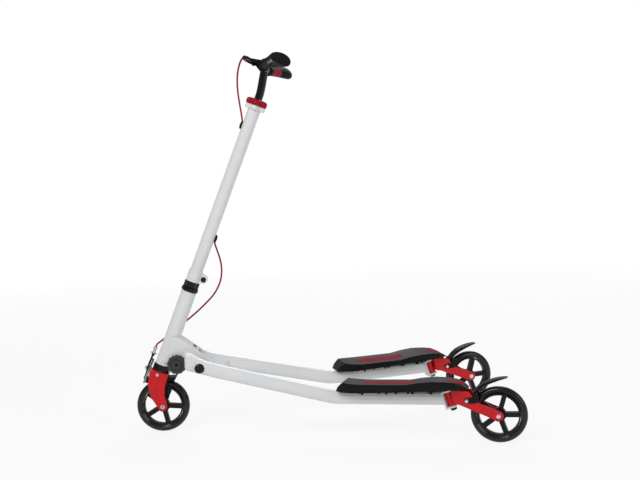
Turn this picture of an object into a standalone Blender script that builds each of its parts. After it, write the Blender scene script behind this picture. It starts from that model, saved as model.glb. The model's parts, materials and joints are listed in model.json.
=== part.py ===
"""Three-wheeled wiggle scooter with a folding head, a height-adjustable handlebar,
a hand brake on the front wheel and a foot brake on each rear caster.

Metres, +Z up. The scooter faces -X, so its left side is -Y. The origin is on the
floor, midway between the front and the rear axles.
"""

import math

import bmesh
import bpy
from mathutils import Matrix, Vector

# Fits
FIT = 0.0003
RUNNING_FIT = 0.0006

# Wheels, all three alike
WHEEL_RADIUS = 0.0725
TYRE_WIDTH = 0.024
TYRE_INNER_RADIUS = 0.0548
RIM_DEPTH = 0.0042
CORE_WIDTH = 0.015
SPOKE_WIDTH = 0.0125
SPOKE_COUNT = 5
HUB_RADIUS = 0.0155
HUB_WIDTH = 0.028
BEARING_RADIUS = 0.011
BEARING_WIDTH = 0.007
AXLE_RADIUS = 0.004
AXLE_SHOULDER = 0.0028
SLEEVE_WALL = 0.0018
AXLE_NUT_RADIUS = 0.0075
BOLT_HEAD_RADIUS = 0.0062
BOLT_HEAD_HEIGHT = 0.0035

# Steering axis and front fork
WHEELBASE = 0.884
HEAD_LEAN = math.radians(22.0)
FORK_SET_BACK = 0.040
FORK_GAP = 0.036
BLADE_THICKNESS = 0.0042
CROWN_TOP = 0.0878
CROWN_THICKNESS = 0.0105
DROPOUT_RADIUS = 0.0125

# Head tube and headset
HEAD_TUBE_RADIUS = 0.021
HEAD_TUBE_WALL = 0.003
HEAD_TUBE_BOTTOM = 0.1065
HEAD_TUBE_TOP = 0.322
CUP_RADIUS = 0.0232
UPPER_CUP_HEIGHT = 0.0115
HEADSET_NUT_FLATS = 0.036
HEADSET_NUT_HEIGHT = 0.0165
HEADSET_BEARING_HEIGHT = 0.008

# Column, stem and bar
STEERER_RADIUS = 0.0157
STEERER_WALL = 0.002
STEERER_TOP = 0.440
COLUMN_RADIUS = 0.0175
COLUMN_WALL = 0.0015
CLAMP_RADIUS = 0.0198
CLAMP_HEIGHT = 0.030
CLAMP_EAR_REACH = 0.0375
CLAMP_EAR_WIDTH = 0.020
CLAMP_SLIT = 0.0024
STEM_RADIUS = 0.011
STEM_SHOWN = 0.108
STEM_INSIDE = 0.245
STEM_STRAIGHT = 0.037
BAR_SET_FORWARD = 0.0116
BAR_HEIGHT = 0.963
BAR_RADIUS = 0.011
BAR_SWEEP_BACK = 0.029
BAR_RISE = 0.018
BAR_HALF_LENGTH = 0.198

# Lobed height collar
COLLAR_RADIUS = 0.030
COLLAR_LOBES = 5
COLLAR_BASE_HEIGHT = 0.0125
COLLAR_NUT_HEIGHT = 0.017
COLLAR_COVER = 0.0045

# Grips
GRIP_INNER_END = 0.092
GRIP_OUTER_END = 0.205
GRIP_ROUND_RADIUS = 0.0155
GRIP_WING_DEPTH = 0.0235

# Folding head
PIVOT_BACK = 0.111
PIVOT_UP = 0.186
LOCK_BACK = 0.046
LOCK_UP = 0.191
LOCK_LIP = 0.008
PIVOT_BOLT_RADIUS = 0.005
PIVOT_CAP_RADIUS = 0.013
LOCK_BOLT_RADIUS = 0.004
NOSE_PLATE_THICKNESS = 0.006
NOSE_WEB_THICKNESS = 0.004
KNOB_RADIUS = 0.0265
KNOB_LOBES = 14
KNOB_DEPTH = 0.0145
KNOB_NECK_RADIUS = 0.011
KNOB_NECK_DEPTH = 0.0025
BUSH_RADIUS = 0.0115
BUSH_TUBE_RADIUS = 0.0068
CROSS_TUBE_RADIUS = 0.011
CROSS_TUBE_BACK = 0.167
CROSS_TUBE_UP = 0.172

# Arms
ARM_WIDTH = 0.028
ARM_HEIGHT = 0.038
ARM_BEND_RADIUS = 0.16

# Rear casters
KINGPIN_LEAN = math.radians(18.0)
KINGPIN_RADIUS = 0.005
KINGPIN_UP = 0.1105
KINGPIN_HEAD_RADIUS = 0.0085
KINGPIN_NUT_HEIGHT = 0.007
CLEVIS_HALF_HEIGHT = 0.0235
CLEVIS_THICKNESS = 0.005
CLEVIS_WIDTH = 0.030
CLEVIS_REACH = 0.010
CASTER_BARREL_RADIUS = 0.0115
BARREL_ROOM = 0.0011
CASTER_TRAIL = 0.124
CASTER_GAP = 0.036
CHEEK_THICKNESS = 0.0035
EAR_THICKNESS = 0.003
FENDER_PIVOT_BACK = 0.0444
FENDER_PIVOT_UP = 0.110
FENDER_BOLT_RADIUS = 0.003
FENDER_HEAD_RADIUS = 0.005
FENDER_HEAD_HEIGHT = 0.0024
FENDER_WIDTH = 0.030
FENDER_WALL = 0.003
SHOE_GAP = 0.0065

# Decks
DECK_WIDTH = 0.096
DECK_NOSE_WIDTH = 0.052
DECK_TAIL_WIDTH = 0.034
DECK_WALL = 0.003
DECK_DISH = 0.0055
DECK_PAD_WIDTH = 0.036
DECK_PAD_THICKNESS = 0.002
DECK_RIB_THICKNESS = 0.005

# Hand brake
PERCH_OUT = 0.064
PERCH_WIDTH = 0.014
PERCH_REACH = 0.040
LEVER_PIN_REACH = 0.026
LEVER_THICKNESS = 0.007
LEVER_PIN_RADIUS = 0.0025
CALIPER_PIVOT = 0.0825
CALIPER_ARM_THICKNESS = 0.005
CALIPER_BOLT_RADIUS = 0.003
CALIPER_STAND_OFF = 0.004
PAD_HEIGHT = 0.011
PAD_THICKNESS = 0.0036
PAD_CLEARANCE = 0.0014
CABLE_RADIUS = 0.0021
GROMMET_LENGTH = 0.022

# Derived places
FRONT_X = -WHEELBASE / 2
HALF_FORK_GAP = FORK_GAP / 2
FORK_OUTER = HALF_FORK_GAP + BLADE_THICKNESS
NOSE_GAP = HEAD_TUBE_RADIUS + FIT
NOSE_OUTER = NOSE_GAP + NOSE_PLATE_THICKNESS
TONGUE_HALF = NOSE_GAP - FIT
COLUMN_BORE = COLUMN_RADIUS - COLUMN_WALL
COLUMN_TOP = BAR_HEIGHT - STEM_SHOWN
STEM_BOTTOM = COLUMN_TOP - STEM_INSIDE
STEM_BEND_START = COLUMN_TOP + STEM_STRAIGHT
SIDE_ON = (math.pi / 2, 0.0, 0.0)
STEERING_FOOT = Vector((
    FRONT_X - FORK_SET_BACK * math.cos(HEAD_LEAN),
    0.0,
    WHEEL_RADIUS + FORK_SET_BACK * math.sin(HEAD_LEAN),
))
PIVOT = Vector((FRONT_X + PIVOT_BACK, 0.0, PIVOT_UP))
LOCK = Vector((FRONT_X + LOCK_BACK, 0.0, LOCK_UP))
UPPER_CUP_BOTTOM = HEAD_TUBE_TOP + FIT
NUT_BOTTOM = UPPER_CUP_BOTTOM + UPPER_CUP_HEIGHT + FIT
COLUMN_BOTTOM = NUT_BOTTOM + HEADSET_NUT_HEIGHT + 2 * FIT
CLAMP_BOLT_UP = COLUMN_BOTTOM + CLAMP_HEIGHT / 2
CLAMP_BOLT_BACK = CLAMP_EAR_REACH - 0.011


def clear_scene():
    for item in list(bpy.data.objects):
        bpy.data.objects.remove(item, do_unlink=True)
    for item in list(bpy.data.collections):
        bpy.data.collections.remove(item)


def new_collection(name):
    made = bpy.data.collections.new(name)
    bpy.context.scene.collection.children.link(made)
    return made


clear_scene()
PARTS = new_collection("wiggle_scooter")
CUTTERS = new_collection("cutters")


def paint(name, colour, roughness, metallic=0.0):
    made = bpy.data.materials.new(name)
    made.use_nodes = True
    shader = made.node_tree.nodes["Principled BSDF"]
    shader.inputs["Base Color"].default_value = (*colour, 1.0)
    shader.inputs["Roughness"].default_value = roughness
    shader.inputs["Metallic"].default_value = metallic
    return made


WHITE = paint("white_paint", (0.80, 0.81, 0.82), 0.30)
RED = paint("red_paint", (0.62, 0.01, 0.03), 0.28)
RED_PLASTIC = paint("red_plastic", (0.60, 0.02, 0.04), 0.40)
RED_RUBBER = paint("red_rubber", (0.66, 0.06, 0.09), 0.65)
BLACK = paint("black_plastic", (0.018, 0.018, 0.020), 0.45)
BLACK_RUBBER = paint("black_rubber", (0.022, 0.022, 0.022), 0.70)
BLACK_PAINT = paint("black_paint", (0.015, 0.016, 0.018), 0.30)
TYRE = paint("tyre_urethane", (0.012, 0.012, 0.013), 0.22)
STEEL = paint("plated_steel", (0.72, 0.72, 0.72), 0.28, 1.0)
GREY = paint("grey_casting", (0.33, 0.34, 0.35), 0.42, 0.6)


# Building blocks

def add(name, mesh, material, parent=None, location=(0, 0, 0), rotation=(0, 0, 0)):
    mesh.materials.clear()
    mesh.materials.append(material)
    made = bpy.data.objects.new(name, mesh)
    PARTS.objects.link(made)
    made.parent = parent
    made.location = location
    made.rotation_euler = rotation
    mesh.shade_smooth()
    mesh.set_sharp_from_angle(angle=math.radians(35))
    return made


def hide_as_cutter(item):
    for held in list(item.users_collection):
        held.objects.unlink(item)
    CUTTERS.objects.link(item)
    item.hide_render = True
    item.display_type = "WIRE"
    return item


def combine(target, tool, operation):
    hide_as_cutter(tool)
    step = target.modifiers.new(operation.lower(), "BOOLEAN")
    step.operation = operation
    step.solver = "EXACT"
    step.object = tool
    return target


def cut(target, tool):
    return combine(target, tool, "DIFFERENCE")


def join(target, tool):
    return combine(target, tool, "UNION")


def empty(name, location=(0, 0, 0), rotation=(0, 0, 0), parent=None):
    made = bpy.data.objects.new(name, None)
    PARTS.objects.link(made)
    made.empty_display_size = 0.03
    made.parent = parent
    made.location = location
    made.rotation_euler = rotation
    return made


def mesh_of(name, form):
    """The closed mesh of a curve or of a modified object, which is then removed."""
    bpy.context.view_layer.update()
    graph = bpy.context.evaluated_depsgraph_get()
    mesh = bpy.data.meshes.new_from_object(form.evaluated_get(graph))
    bpy.data.objects.remove(form, do_unlink=True)
    shape = bmesh.new()
    shape.from_mesh(mesh)
    bmesh.ops.remove_doubles(shape, verts=shape.verts, dist=0.00001)
    bmesh.ops.recalc_face_normals(shape, faces=shape.faces)
    shape.to_mesh(mesh)
    shape.free()
    mesh.name = name
    return mesh


def circle(radius, centre=(0.0, 0.0), steps=24):
    return [
        (centre[0] + radius * math.cos(2 * math.pi * i / steps),
         centre[1] + radius * math.sin(2 * math.pi * i / steps))
        for i in range(steps)
    ]


def arc(centre, radius, start, end, steps):
    """Points on an arc, with the angles in degrees."""
    return [
        (centre[0] + radius * math.cos(math.radians(start + (end - start) * i / steps)),
         centre[1] + radius * math.sin(math.radians(start + (end - start) * i / steps)))
        for i in range(steps + 1)
    ]


def extrusion(name, outline, depth, material, holes=(), bevel=0.0, **place):
    """A flat outline with holes, extruded evenly to both sides of its plane."""
    curve = bpy.data.curves.new(name, "CURVE")
    curve.dimensions = "2D"
    curve.fill_mode = "BOTH"
    curve.extrude = depth / 2 - bevel
    curve.bevel_depth = bevel
    curve.bevel_resolution = 0
    if bevel:
        curve.offset = -bevel
    for loop in (outline, *holes):
        spline = curve.splines.new("POLY")
        spline.points.add(len(loop) - 1)
        for point, (x, y) in zip(spline.points, loop):
            point.co = (x, y, 0.0, 1.0)
        spline.use_cyclic_u = True
    form = bpy.data.objects.new(name, curve)
    PARTS.objects.link(form)
    return add(name, mesh_of(name, form), material, **place)


def turned(name, profile, material, steps=24, closed=True, **place):
    """A profile of (radius, height) points, outer side downwards, turned about Z."""
    mesh = bpy.data.meshes.new(name)
    shape = bmesh.new()
    points = [shape.verts.new((r, 0.0, z)) for r, z in profile]
    for first, second in zip(points, points[1:]):
        shape.edges.new((first, second))
    if closed:
        shape.edges.new((points[-1], points[0]))
    shape.to_mesh(mesh)
    shape.free()
    form = bpy.data.objects.new(name, mesh)
    PARTS.objects.link(form)
    screw = form.modifiers.new("turn", "SCREW")
    screw.axis = "Z"
    screw.steps = steps
    screw.render_steps = steps
    screw.use_merge_vertices = True
    screw.merge_threshold = 0.00001
    return add(name, mesh_of(name, form), material, **place)


def ring(name, outer, inner, bottom, top, material, steps=24, chamfer=0.0, **place):
    c = chamfer
    profile = [(outer - c, top), (outer, top - c), (outer, bottom + c), (outer - c, bottom),
               (inner, bottom), (inner, top)]
    if not c:
        profile = [(outer, top), (outer, bottom), (inner, bottom), (inner, top)]
    return turned(name, profile, material, steps, **place)


def rod(name, radius, bottom, top, material, steps=20, chamfer=0.0, **place):
    c = chamfer
    profile = [(0.0, top), (radius - c, top), (radius, top - c), (radius, bottom + c),
               (radius - c, bottom), (0.0, bottom)]
    if not c:
        profile = [(0.0, top), (radius, top), (radius, bottom), (0.0, bottom)]
    return turned(name, profile, material, steps, closed=False, **place)


def bolt(name, radius, length, head_radius, head_height, material, **place):
    """A shank along Z from 0 down to -length, with a domed head above it."""
    dome = [
        (head_radius * math.sin(a), head_height * (0.45 + 0.55 * math.cos(a)))
        for a in (math.radians(30 * k) for k in range(3))
    ]
    dome[0] = (0.0, head_height)
    dome.append((head_radius, head_height * 0.45))
    profile = dome + [(head_radius, 0.0), (radius, 0.0), (radius, -length), (0.0, -length)]
    return turned(name, profile, material, 16, closed=False, **place)


def nut(name, corner_radius, height, material, **place):
    """A hexagon about its own middle, to be joined to the shank that it is screwed on."""
    return extrusion(name, circle(corner_radius, steps=6), height, material, **place)


def box(name, low, high, material, bevel=0.0, **place):
    mesh = bpy.data.meshes.new(name)
    shape = bmesh.new()
    bmesh.ops.create_cube(shape, size=1.0)
    size = Vector(high) - Vector(low)
    middle = (Vector(high) + Vector(low)) / 2
    shape.transform(Matrix.Translation(middle) @ Matrix.Diagonal((*size, 1.0)))
    if bevel:
        bmesh.ops.bevel(shape, geom=list(shape.edges), offset=bevel, segments=1,
                        affect="EDGES", profile=0.5)
    shape.to_mesh(mesh)
    shape.free()
    return add(name, mesh, material, **place)


def smooth_route(points, steps):
    """Points along a Catmull-Rom curve through the given points."""
    route = [Vector(p) for p in points]
    ends = [2 * route[0] - route[1]] + route + [2 * route[-1] - route[-2]]
    made = []
    for i in range(len(route) - 1):
        a, b, c, d = ends[i:i + 4]
        for k in range(steps):
            u = k / steps
            made.append(0.5 * ((2 * b) + (c - a) * u + (2 * a - 5 * b + 4 * c - d) * u * u
                               + (3 * b - a - 3 * c + d) * u ** 3))
    made.append(route[-1])
    return made


def tube(name, points, radius, material, resolution=2, **place):
    """A round solid tube along a line of points, its ends closed."""
    curve = bpy.data.curves.new(name, "CURVE")
    curve.dimensions = "3D"
    curve.bevel_depth = radius
    curve.bevel_resolution = resolution
    curve.use_fill_caps = True
    spline = curve.splines.new("POLY")
    spline.points.add(len(points) - 1)
    for point, place_at in zip(spline.points, points):
        point.co = (*place_at, 1.0)
    form = bpy.data.objects.new(name, curve)
    PARTS.objects.link(form)
    return add(name, mesh_of(name, form), material, **place)


def loft(name, sections, material, **place):
    """A closed skin through rings of points that all have the same count."""
    mesh = bpy.data.meshes.new(name)
    shape = bmesh.new()
    rings = [[shape.verts.new(p) for p in section] for section in sections]
    count = len(rings[0])
    for first, second in zip(rings, rings[1:]):
        for i in range(count):
            j = (i + 1) % count
            shape.faces.new((first[i], first[j], second[j], second[i]))
    shape.faces.new(reversed(rings[0]))
    shape.faces.new(rings[-1])
    bmesh.ops.recalc_face_normals(shape, faces=shape.faces)
    shape.to_mesh(mesh)
    shape.free()
    return add(name, mesh, material, **place)


def oval(centre, side, up, half_width, half_height, power=2.4, steps=14):
    """A ring of points on a rounded rectangle that lies across a path."""
    points = []
    for i in range(steps):
        angle = 2 * math.pi * (i + 0.5) / steps
        c, s = math.cos(angle), math.sin(angle)
        x = half_width * math.copysign(abs(c) ** (2 / power), c)
        y = half_height * math.copysign(abs(s) ** (2 / power), s)
        points.append(Vector(centre) + Vector(side) * x + Vector(up) * y)
    return points


def ribbon(points, widths):
    """The outline of a flat bar that follows points, with a width at each."""
    left, right = [], []
    for i, (x, y) in enumerate(points):
        before = points[max(i - 1, 0)]
        after = points[min(i + 1, len(points) - 1)]
        along = Vector((after[0] - before[0], after[1] - before[1])).normalized()
        half = widths[i] / 2
        left.append((x - along.y * half, y + along.x * half))
        right.append((x + along.y * half, y - along.x * half))
    return left + right[::-1]


def blend(stations, where):
    """A value read between the (place, value) pairs of a list."""
    if where <= stations[0][0]:
        return stations[0][1]
    for (a, first), (b, second) in zip(stations, stations[1:]):
        if where <= b:
            return first + (second - first) * (where - a) / (b - a)
    return stations[-1][1]


# Wheels

def tyre(name, parent):
    half = TYRE_WIDTH / 2
    shoulder = 0.0085
    crown = [
        (WHEEL_RADIUS - shoulder * (1 - math.cos(a)), half * math.sin(a))
        for a in (math.radians(d) for d in (90, 58, 28, 0, -28, -58, -90))
    ]
    profile = crown + [(TYRE_INNER_RADIUS, -CORE_WIDTH / 2), (TYRE_INNER_RADIUS, CORE_WIDTH / 2)]
    return turned(name, profile, TYRE, 32, parent=parent, rotation=SIDE_ON)


def spoke_window(index):
    """The opening between two spokes, as an outline in the wheel's plane."""
    inner = HUB_RADIUS + 0.0025
    outer = TYRE_INNER_RADIUS - FIT - RIM_DEPTH
    pitch = 360.0 / SPOKE_COUNT
    first = index * pitch
    edge_in = math.degrees(math.asin(SPOKE_WIDTH / 2 / inner))
    edge_out = math.degrees(math.asin(SPOKE_WIDTH / 2 / outer))
    wall = arc((0, 0), outer, first + edge_out, first + pitch - edge_out, 5)
    root = arc((0, 0), inner, first + pitch - edge_in, first + edge_in, 2)
    return wall + root


def wheel_core(name, parent, turn):
    rim = circle(TYRE_INNER_RADIUS - FIT, steps=32)
    bore = circle(HUB_RADIUS - 0.002, steps=20)
    windows = [spoke_window(i) for i in range(SPOKE_COUNT)]
    core = extrusion(name, rim, CORE_WIDTH, BLACK, holes=[bore, *windows], parent=parent,
                     rotation=(math.pi / 2, turn, 0.0))
    hub = ring(name + "_hub", HUB_RADIUS, BEARING_RADIUS + FIT, -HUB_WIDTH / 2, HUB_WIDTH / 2,
               BLACK, 18, parent=parent, rotation=SIDE_ON)
    return join(core, hub)


def bearings(name, parent):
    """Two bearings with the sleeve that keeps them apart."""
    face = HUB_WIDTH / 2
    shoulder = face - BEARING_WIDTH
    bore = AXLE_RADIUS + FIT
    sleeve = bore + SLEEVE_WALL
    profile = [(BEARING_RADIUS, face), (BEARING_RADIUS, shoulder), (sleeve, shoulder),
               (sleeve, -shoulder), (BEARING_RADIUS, -shoulder), (BEARING_RADIUS, -face),
               (bore, -face), (bore, face)]
    return turned(name, profile, STEEL, 16, parent=parent, rotation=SIDE_ON)


def make_axle(name, outer_face, gap, parent):
    """A bolt across the wheel, with its nut and the shoulders between hub and fork."""
    seat = outer_face + FIT
    axle = bolt(name, AXLE_RADIUS, 2 * seat + BOLT_HEAD_HEIGHT + FIT, BOLT_HEAD_RADIUS,
                BOLT_HEAD_HEIGHT, STEEL, parent=parent, location=(0, -seat, 0),
                rotation=SIDE_ON)
    end_nut = nut("nut", AXLE_NUT_RADIUS, BOLT_HEAD_HEIGHT, STEEL, parent=parent,
                  location=(0, seat + BOLT_HEAD_HEIGHT / 2, 0), rotation=SIDE_ON)
    join(axle, end_nut)
    for side in (-1, 1):
        low, high = sorted((side * (HUB_WIDTH / 2 + FIT), side * (gap / 2 - FIT)))
        shoulder = rod("shoulder", AXLE_RADIUS + AXLE_SHOULDER, -high, -low, STEEL, 16,
                       parent=parent, rotation=SIDE_ON)
        join(axle, shoulder)


def wheel(prefix, parent, turn):
    tyre(prefix + "_tyre", parent)
    wheel_core(prefix + "_wheel_core", parent, turn)
    bearings(prefix + "_bearings", parent)


# Body axes
fold_axis = empty("fold_axis", PIVOT)
lock_axis = empty("lock_axis", LOCK - PIVOT, SIDE_ON, fold_axis)
steering_axis = empty("steering_axis", STEERING_FOOT - PIVOT, (0.0, HEAD_LEAN, 0.0), fold_axis)
front_axle_axis = empty("front_axle_axis", (FORK_SET_BACK, 0.0, 0.0), parent=steering_axis)
stem_axis = empty("stem_axis", (0.0, 0.0, 0.0), parent=steering_axis)
fold_root = empty("fold_root", PIVOT)


# Front wheel and fork

def blade_outline():
    """The fork blade from the side: along the steering axis at the crown, then back."""
    back = FORK_SET_BACK
    front = [(-0.0246, CROWN_TOP), (-0.0243, 0.074), (-0.0222, 0.060), (-0.0180, 0.045),
             (-0.0105, 0.0300), (0.0030, 0.0120)]
    end = arc((back, 0.0), DROPOUT_RADIUS, 228, 388, 10)
    rear = [(0.0440, 0.0172), (0.0345, 0.0300), (0.0292, 0.0450), (0.0262, 0.062),
            (0.0252, CROWN_TOP)]
    return front + end + rear


def make_fork():
    outline = blade_outline()
    hole = circle(AXLE_RADIUS + FIT, (FORK_SET_BACK, 0.0), 20)
    middle = HALF_FORK_GAP + BLADE_THICKNESS / 2
    fork = extrusion("fork", outline, BLADE_THICKNESS, RED, [hole],
                     parent=steering_axis, location=(0, -middle, 0), rotation=SIDE_ON)
    far = extrusion("fork_far_blade", outline, BLADE_THICKNESS, RED, [hole],
                    parent=steering_axis, location=(0, middle, 0), rotation=SIDE_ON)
    crown = box("fork_crown", (-0.0238, -HALF_FORK_GAP - 0.002, CROWN_TOP - CROWN_THICKNESS),
                (0.0244, HALF_FORK_GAP + 0.002, CROWN_TOP - 0.0004), RED, 0.001,
                parent=steering_axis)
    steerer = ring("steerer", STEERER_RADIUS, STEERER_RADIUS - STEERER_WALL, CROWN_TOP - 0.003,
                   STEERER_TOP, RED, 20, parent=steering_axis)
    join(fork, far)
    join(fork, crown)
    join(fork, steerer)
    for side in (-1, 1):
        for back, low, high in ((-0.0125, 0.048, 0.074), (0.004, 0.024, 0.070)):
            rib = box("fork_rib", (back - 0.0016, -0.0008, low), (back + 0.0016, 0.0008, high),
                      RED, 0.0004, parent=steering_axis, location=(0, side * FORK_OUTER, 0))
            join(fork, rib)
    bore = rod("caliper_bolt_bore", CALIPER_BOLT_RADIUS + FIT, -0.03, 0.03, RED, 16,
               parent=steering_axis, location=(0, 0, CALIPER_PIVOT),
               rotation=(0.0, math.pi / 2, 0.0))
    cut(fork, bore)


def make_front_fender():
    """A moulded liner: an arc over the tyre that flares behind the crown, with side walls."""
    back = FORK_SET_BACK
    inner = WHEEL_RADIUS + 0.0022
    outer = inner + 0.0024
    roof = arc((back, 0.0), outer, 125, 102, 6)
    flare = [(0.0262, 0.0800), (0.0475, 0.0895), (0.0470, 0.0815)]
    under = arc((back, 0.0), inner, 86, 125, 8)
    width = 2 * (HALF_FORK_GAP - FIT)
    fender = extrusion("front_fender", roof + flare + under, width, BLACK,
                       parent=steering_axis, rotation=SIDE_ON)
    wall = 0.0014
    side_wall = [(0.0010, 0.0655), (0.0125, 0.0705), (0.0240, 0.0745), (0.0310, 0.0770),
                 (0.0318, 0.0620), (0.0345, 0.0450), (0.0395, 0.0300), (0.0480, 0.0190),
                 (0.0400, 0.0150), (0.0270, 0.0170), (0.0120, 0.0330), (0.0030, 0.0430)]
    for side in (-1, 1):
        panel = extrusion("fender_wall", side_wall, wall, BLACK, parent=steering_axis,
                          location=(0, side * (HALF_FORK_GAP - FIT - wall / 2 - 0.0001), 0),
                          rotation=SIDE_ON)
        join(fender, panel)


make_fork()
make_front_fender()
wheel("front", front_axle_axis, math.radians(-17))
make_axle("front_axle", FORK_OUTER, FORK_GAP, front_axle_axis)


# Head tube, headset and steerer

def make_head():
    tube_bore = HEAD_TUBE_RADIUS - HEAD_TUBE_WALL
    ring("head_tube", HEAD_TUBE_RADIUS, tube_bore, HEAD_TUBE_BOTTOM, HEAD_TUBE_TOP, WHITE, 24,
         0.0006, parent=steering_axis)
    cup_bore = STEERER_RADIUS + FIT
    overlap = 0.001
    lower = ring("lower_headset", CUP_RADIUS, cup_bore, CROWN_TOP + FIT, HEAD_TUBE_BOTTOM - FIT,
                 BLACK, 20, 0.0015, parent=steering_axis)
    join(lower, ring("lower_race", tube_bore - FIT, cup_bore, HEAD_TUBE_BOTTOM - FIT - overlap,
                     HEAD_TUBE_BOTTOM + HEADSET_BEARING_HEIGHT, STEEL, 20, parent=steering_axis))
    upper = ring("upper_headset", CUP_RADIUS, cup_bore, UPPER_CUP_BOTTOM, NUT_BOTTOM - FIT,
                 BLACK, 20, 0.002, parent=steering_axis)
    join(upper, ring("upper_race", tube_bore - FIT, cup_bore,
                     HEAD_TUBE_TOP - HEADSET_BEARING_HEIGHT, UPPER_CUP_BOTTOM + overlap, STEEL, 20,
                     parent=steering_axis))
    hexagon = circle(HEADSET_NUT_FLATS / 2 / math.cos(math.pi / 6), steps=6)
    extrusion("headset_nut", hexagon, HEADSET_NUT_HEIGHT, BLACK,
              [circle(STEERER_RADIUS + FIT, steps=32)], 0.0008, parent=steering_axis,
              location=(0, 0, NUT_BOTTOM + HEADSET_NUT_HEIGHT / 2))


make_head()


# Folding nose

def from_pivot(back, up):
    """A side-view place behind the front axle and above the floor, seen from the pivot."""
    return (back - PIVOT_BACK, up - PIVOT_UP)


def make_nose():
    pivot_hole = circle(BUSH_TUBE_RADIUS + FIT, steps=20)
    lock_hole = circle(LOCK_BOLT_RADIUS + FIT, from_pivot(LOCK_BACK, LOCK_UP), 20)
    front = [from_pivot(0.0115, 0.1985), from_pivot(0.0330, 0.2640)]
    top = [from_pivot(0.0360, 0.2665), from_pivot(0.0550, 0.2610), from_pivot(0.0925, 0.2335),
           from_pivot(0.1380, 0.1990)]
    rear = arc(from_pivot(0.1330, 0.1905), 0.009, 40, -90, 5)
    bottom = [from_pivot(0.1130, 0.1700), from_pivot(0.0700, 0.1735), from_pivot(0.0480, 0.1765)]
    outline = front + top + rear + bottom
    bracket = extrusion("nose_bracket", outline, 2 * NOSE_OUTER, WHITE, [pivot_hole, lock_hole],
                        0.0012, parent=fold_axis, rotation=SIDE_ON)
    web_end = from_pivot(0.1040, 0.2245)
    under_web = from_pivot(0.0540, 0.2612 - NOSE_WEB_THICKNESS * 1.25)
    hollow = [from_pivot(0.0, 0.30), under_web,
              (web_end[0] - 0.002, web_end[1] - NOSE_WEB_THICKNESS * 1.25),
              (web_end[0] + 0.0005, web_end[1] + 0.004), from_pivot(0.20, 0.24),
              from_pivot(0.20, 0.13), from_pivot(-0.02, 0.13)]
    cut(bracket, extrusion("nose_hollow", hollow, 2 * NOSE_GAP, WHITE, parent=fold_axis,
                           rotation=SIDE_ON))
    saddle = rod("head_tube_saddle", HEAD_TUBE_RADIUS + FIT, 0.05, 0.40, WHITE, 28,
                 parent=steering_axis)
    cut(bracket, saddle)
    slope = math.atan2(0.2612 - 0.2245, 0.1040 - 0.0540)
    normal = Vector((math.sin(slope), 0.0, math.cos(slope)))
    seat = Vector((0.0925 - PIVOT_BACK, 0.0, 0.2335 - PIVOT_UP)) + normal * FIT
    rod("nose_plug", 0.0052, 0.0, 0.0022, RED_PLASTIC, 20, 0.0006, parent=fold_axis,
        location=seat, rotation=(0.0, slope, 0.0))


make_nose()


def make_lock():
    far_face = NOSE_OUTER + FIT
    stud_end = NOSE_OUTER + KNOB_NECK_DEPTH + 0.010
    bolt("lock_bolt", LOCK_BOLT_RADIUS, far_face + stud_end, 0.0075, 0.004, STEEL,
         parent=lock_axis, location=(0, 0, -far_face), rotation=(math.pi, 0, 0))
    base = NOSE_OUTER + FIT
    lobes = []
    for i in range(KNOB_LOBES * 3):
        angle = 2 * math.pi * i / (KNOB_LOBES * 3)
        wave = 0.5 + 0.5 * math.cos(KNOB_LOBES * angle)
        radius = KNOB_RADIUS - 0.0016 * (1 - wave ** 0.6)
        lobes.append((radius * math.cos(angle), radius * math.sin(angle)))
    middle = base + KNOB_NECK_DEPTH + KNOB_DEPTH / 2
    knob = extrusion("lock_knob", lobes, KNOB_DEPTH, BLACK, bevel=0.0016, parent=lock_axis,
                     location=(0, 0, middle))
    neck = rod("knob_neck", KNOB_NECK_RADIUS, base, middle, BLACK, 20, parent=lock_axis)
    join(knob, neck)
    face = base + KNOB_NECK_DEPTH + KNOB_DEPTH
    groove = ring("knob_groove", 0.0155, 0.0135, face - 0.0016, face + 0.002, BLACK, 24,
                  parent=lock_axis)
    cut(knob, groove)
    bore = rod("knob_bore", LOCK_BOLT_RADIUS + FIT, base - 0.001, stud_end + 0.0005, BLACK, 20,
               parent=lock_axis)
    cut(knob, bore)


make_lock()


# Arms, yoke and fold pivot: (back, up, half height, half width) of the flattened nose
ARM_NOSE = [
    (0.0700, 0.2040, 0.0205, 0.0040),
    (0.0725, 0.2036, 0.0245, 0.0090),
    (0.0780, 0.2028, 0.0262, 0.0125),
    (0.0860, 0.2005, 0.0258, 0.0138),
    (0.1050, 0.1920, 0.0222, 0.0140),
    (0.1290, 0.1838, 0.0195, 0.0140),
]
ARM_START = Vector((0.150, 0.0710, 0.1780))
ARM_BEND = Vector((0.468, 0.1195, 0.1058))
ARM_END = Vector((0.7469, 0.1976, 0.1106))
ARM_HEADING = math.atan2(ARM_END.y - ARM_BEND.y, ARM_END.x - ARM_BEND.x)
NOSE_HEADING = (ARM_BEND.y - ARM_START.y) / (ARM_BEND.x - ARM_START.x)
ARM_AT_PIVOT = ARM_START.y + NOSE_HEADING * (PIVOT_BACK - ARM_START.x)
ARM_FACE = ARM_AT_PIVOT + ARM_WIDTH / 2 - 0.0012
BUSH_END = ARM_AT_PIVOT - ARM_WIDTH / 2 + 0.0030


def arm_path():
    """Centres of the arm tube behind its flattened nose, with a round bend."""
    into = (ARM_BEND - ARM_START).normalized()
    out = (ARM_END - ARM_BEND).normalized()
    turn = into.angle(out)
    reach = ARM_BEND_RADIUS * math.tan(turn / 2)
    first, last = ARM_BEND - into * reach, ARM_BEND + out * reach
    steps = 6
    bend = []
    for i in range(steps + 1):
        u = i / steps
        bend.append(first * (1 - u) ** 2 + ARM_BEND * 2 * u * (1 - u) + last * u * u)
    return [ARM_START, *bend, ARM_END]


def arm_centre_up(along):
    """Height of the arm's centre at a distance behind its bend."""
    rise = (ARM_END.z - ARM_BEND.z) / (ARM_END - ARM_BEND).length
    return ARM_BEND.z + rise * along


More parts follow.
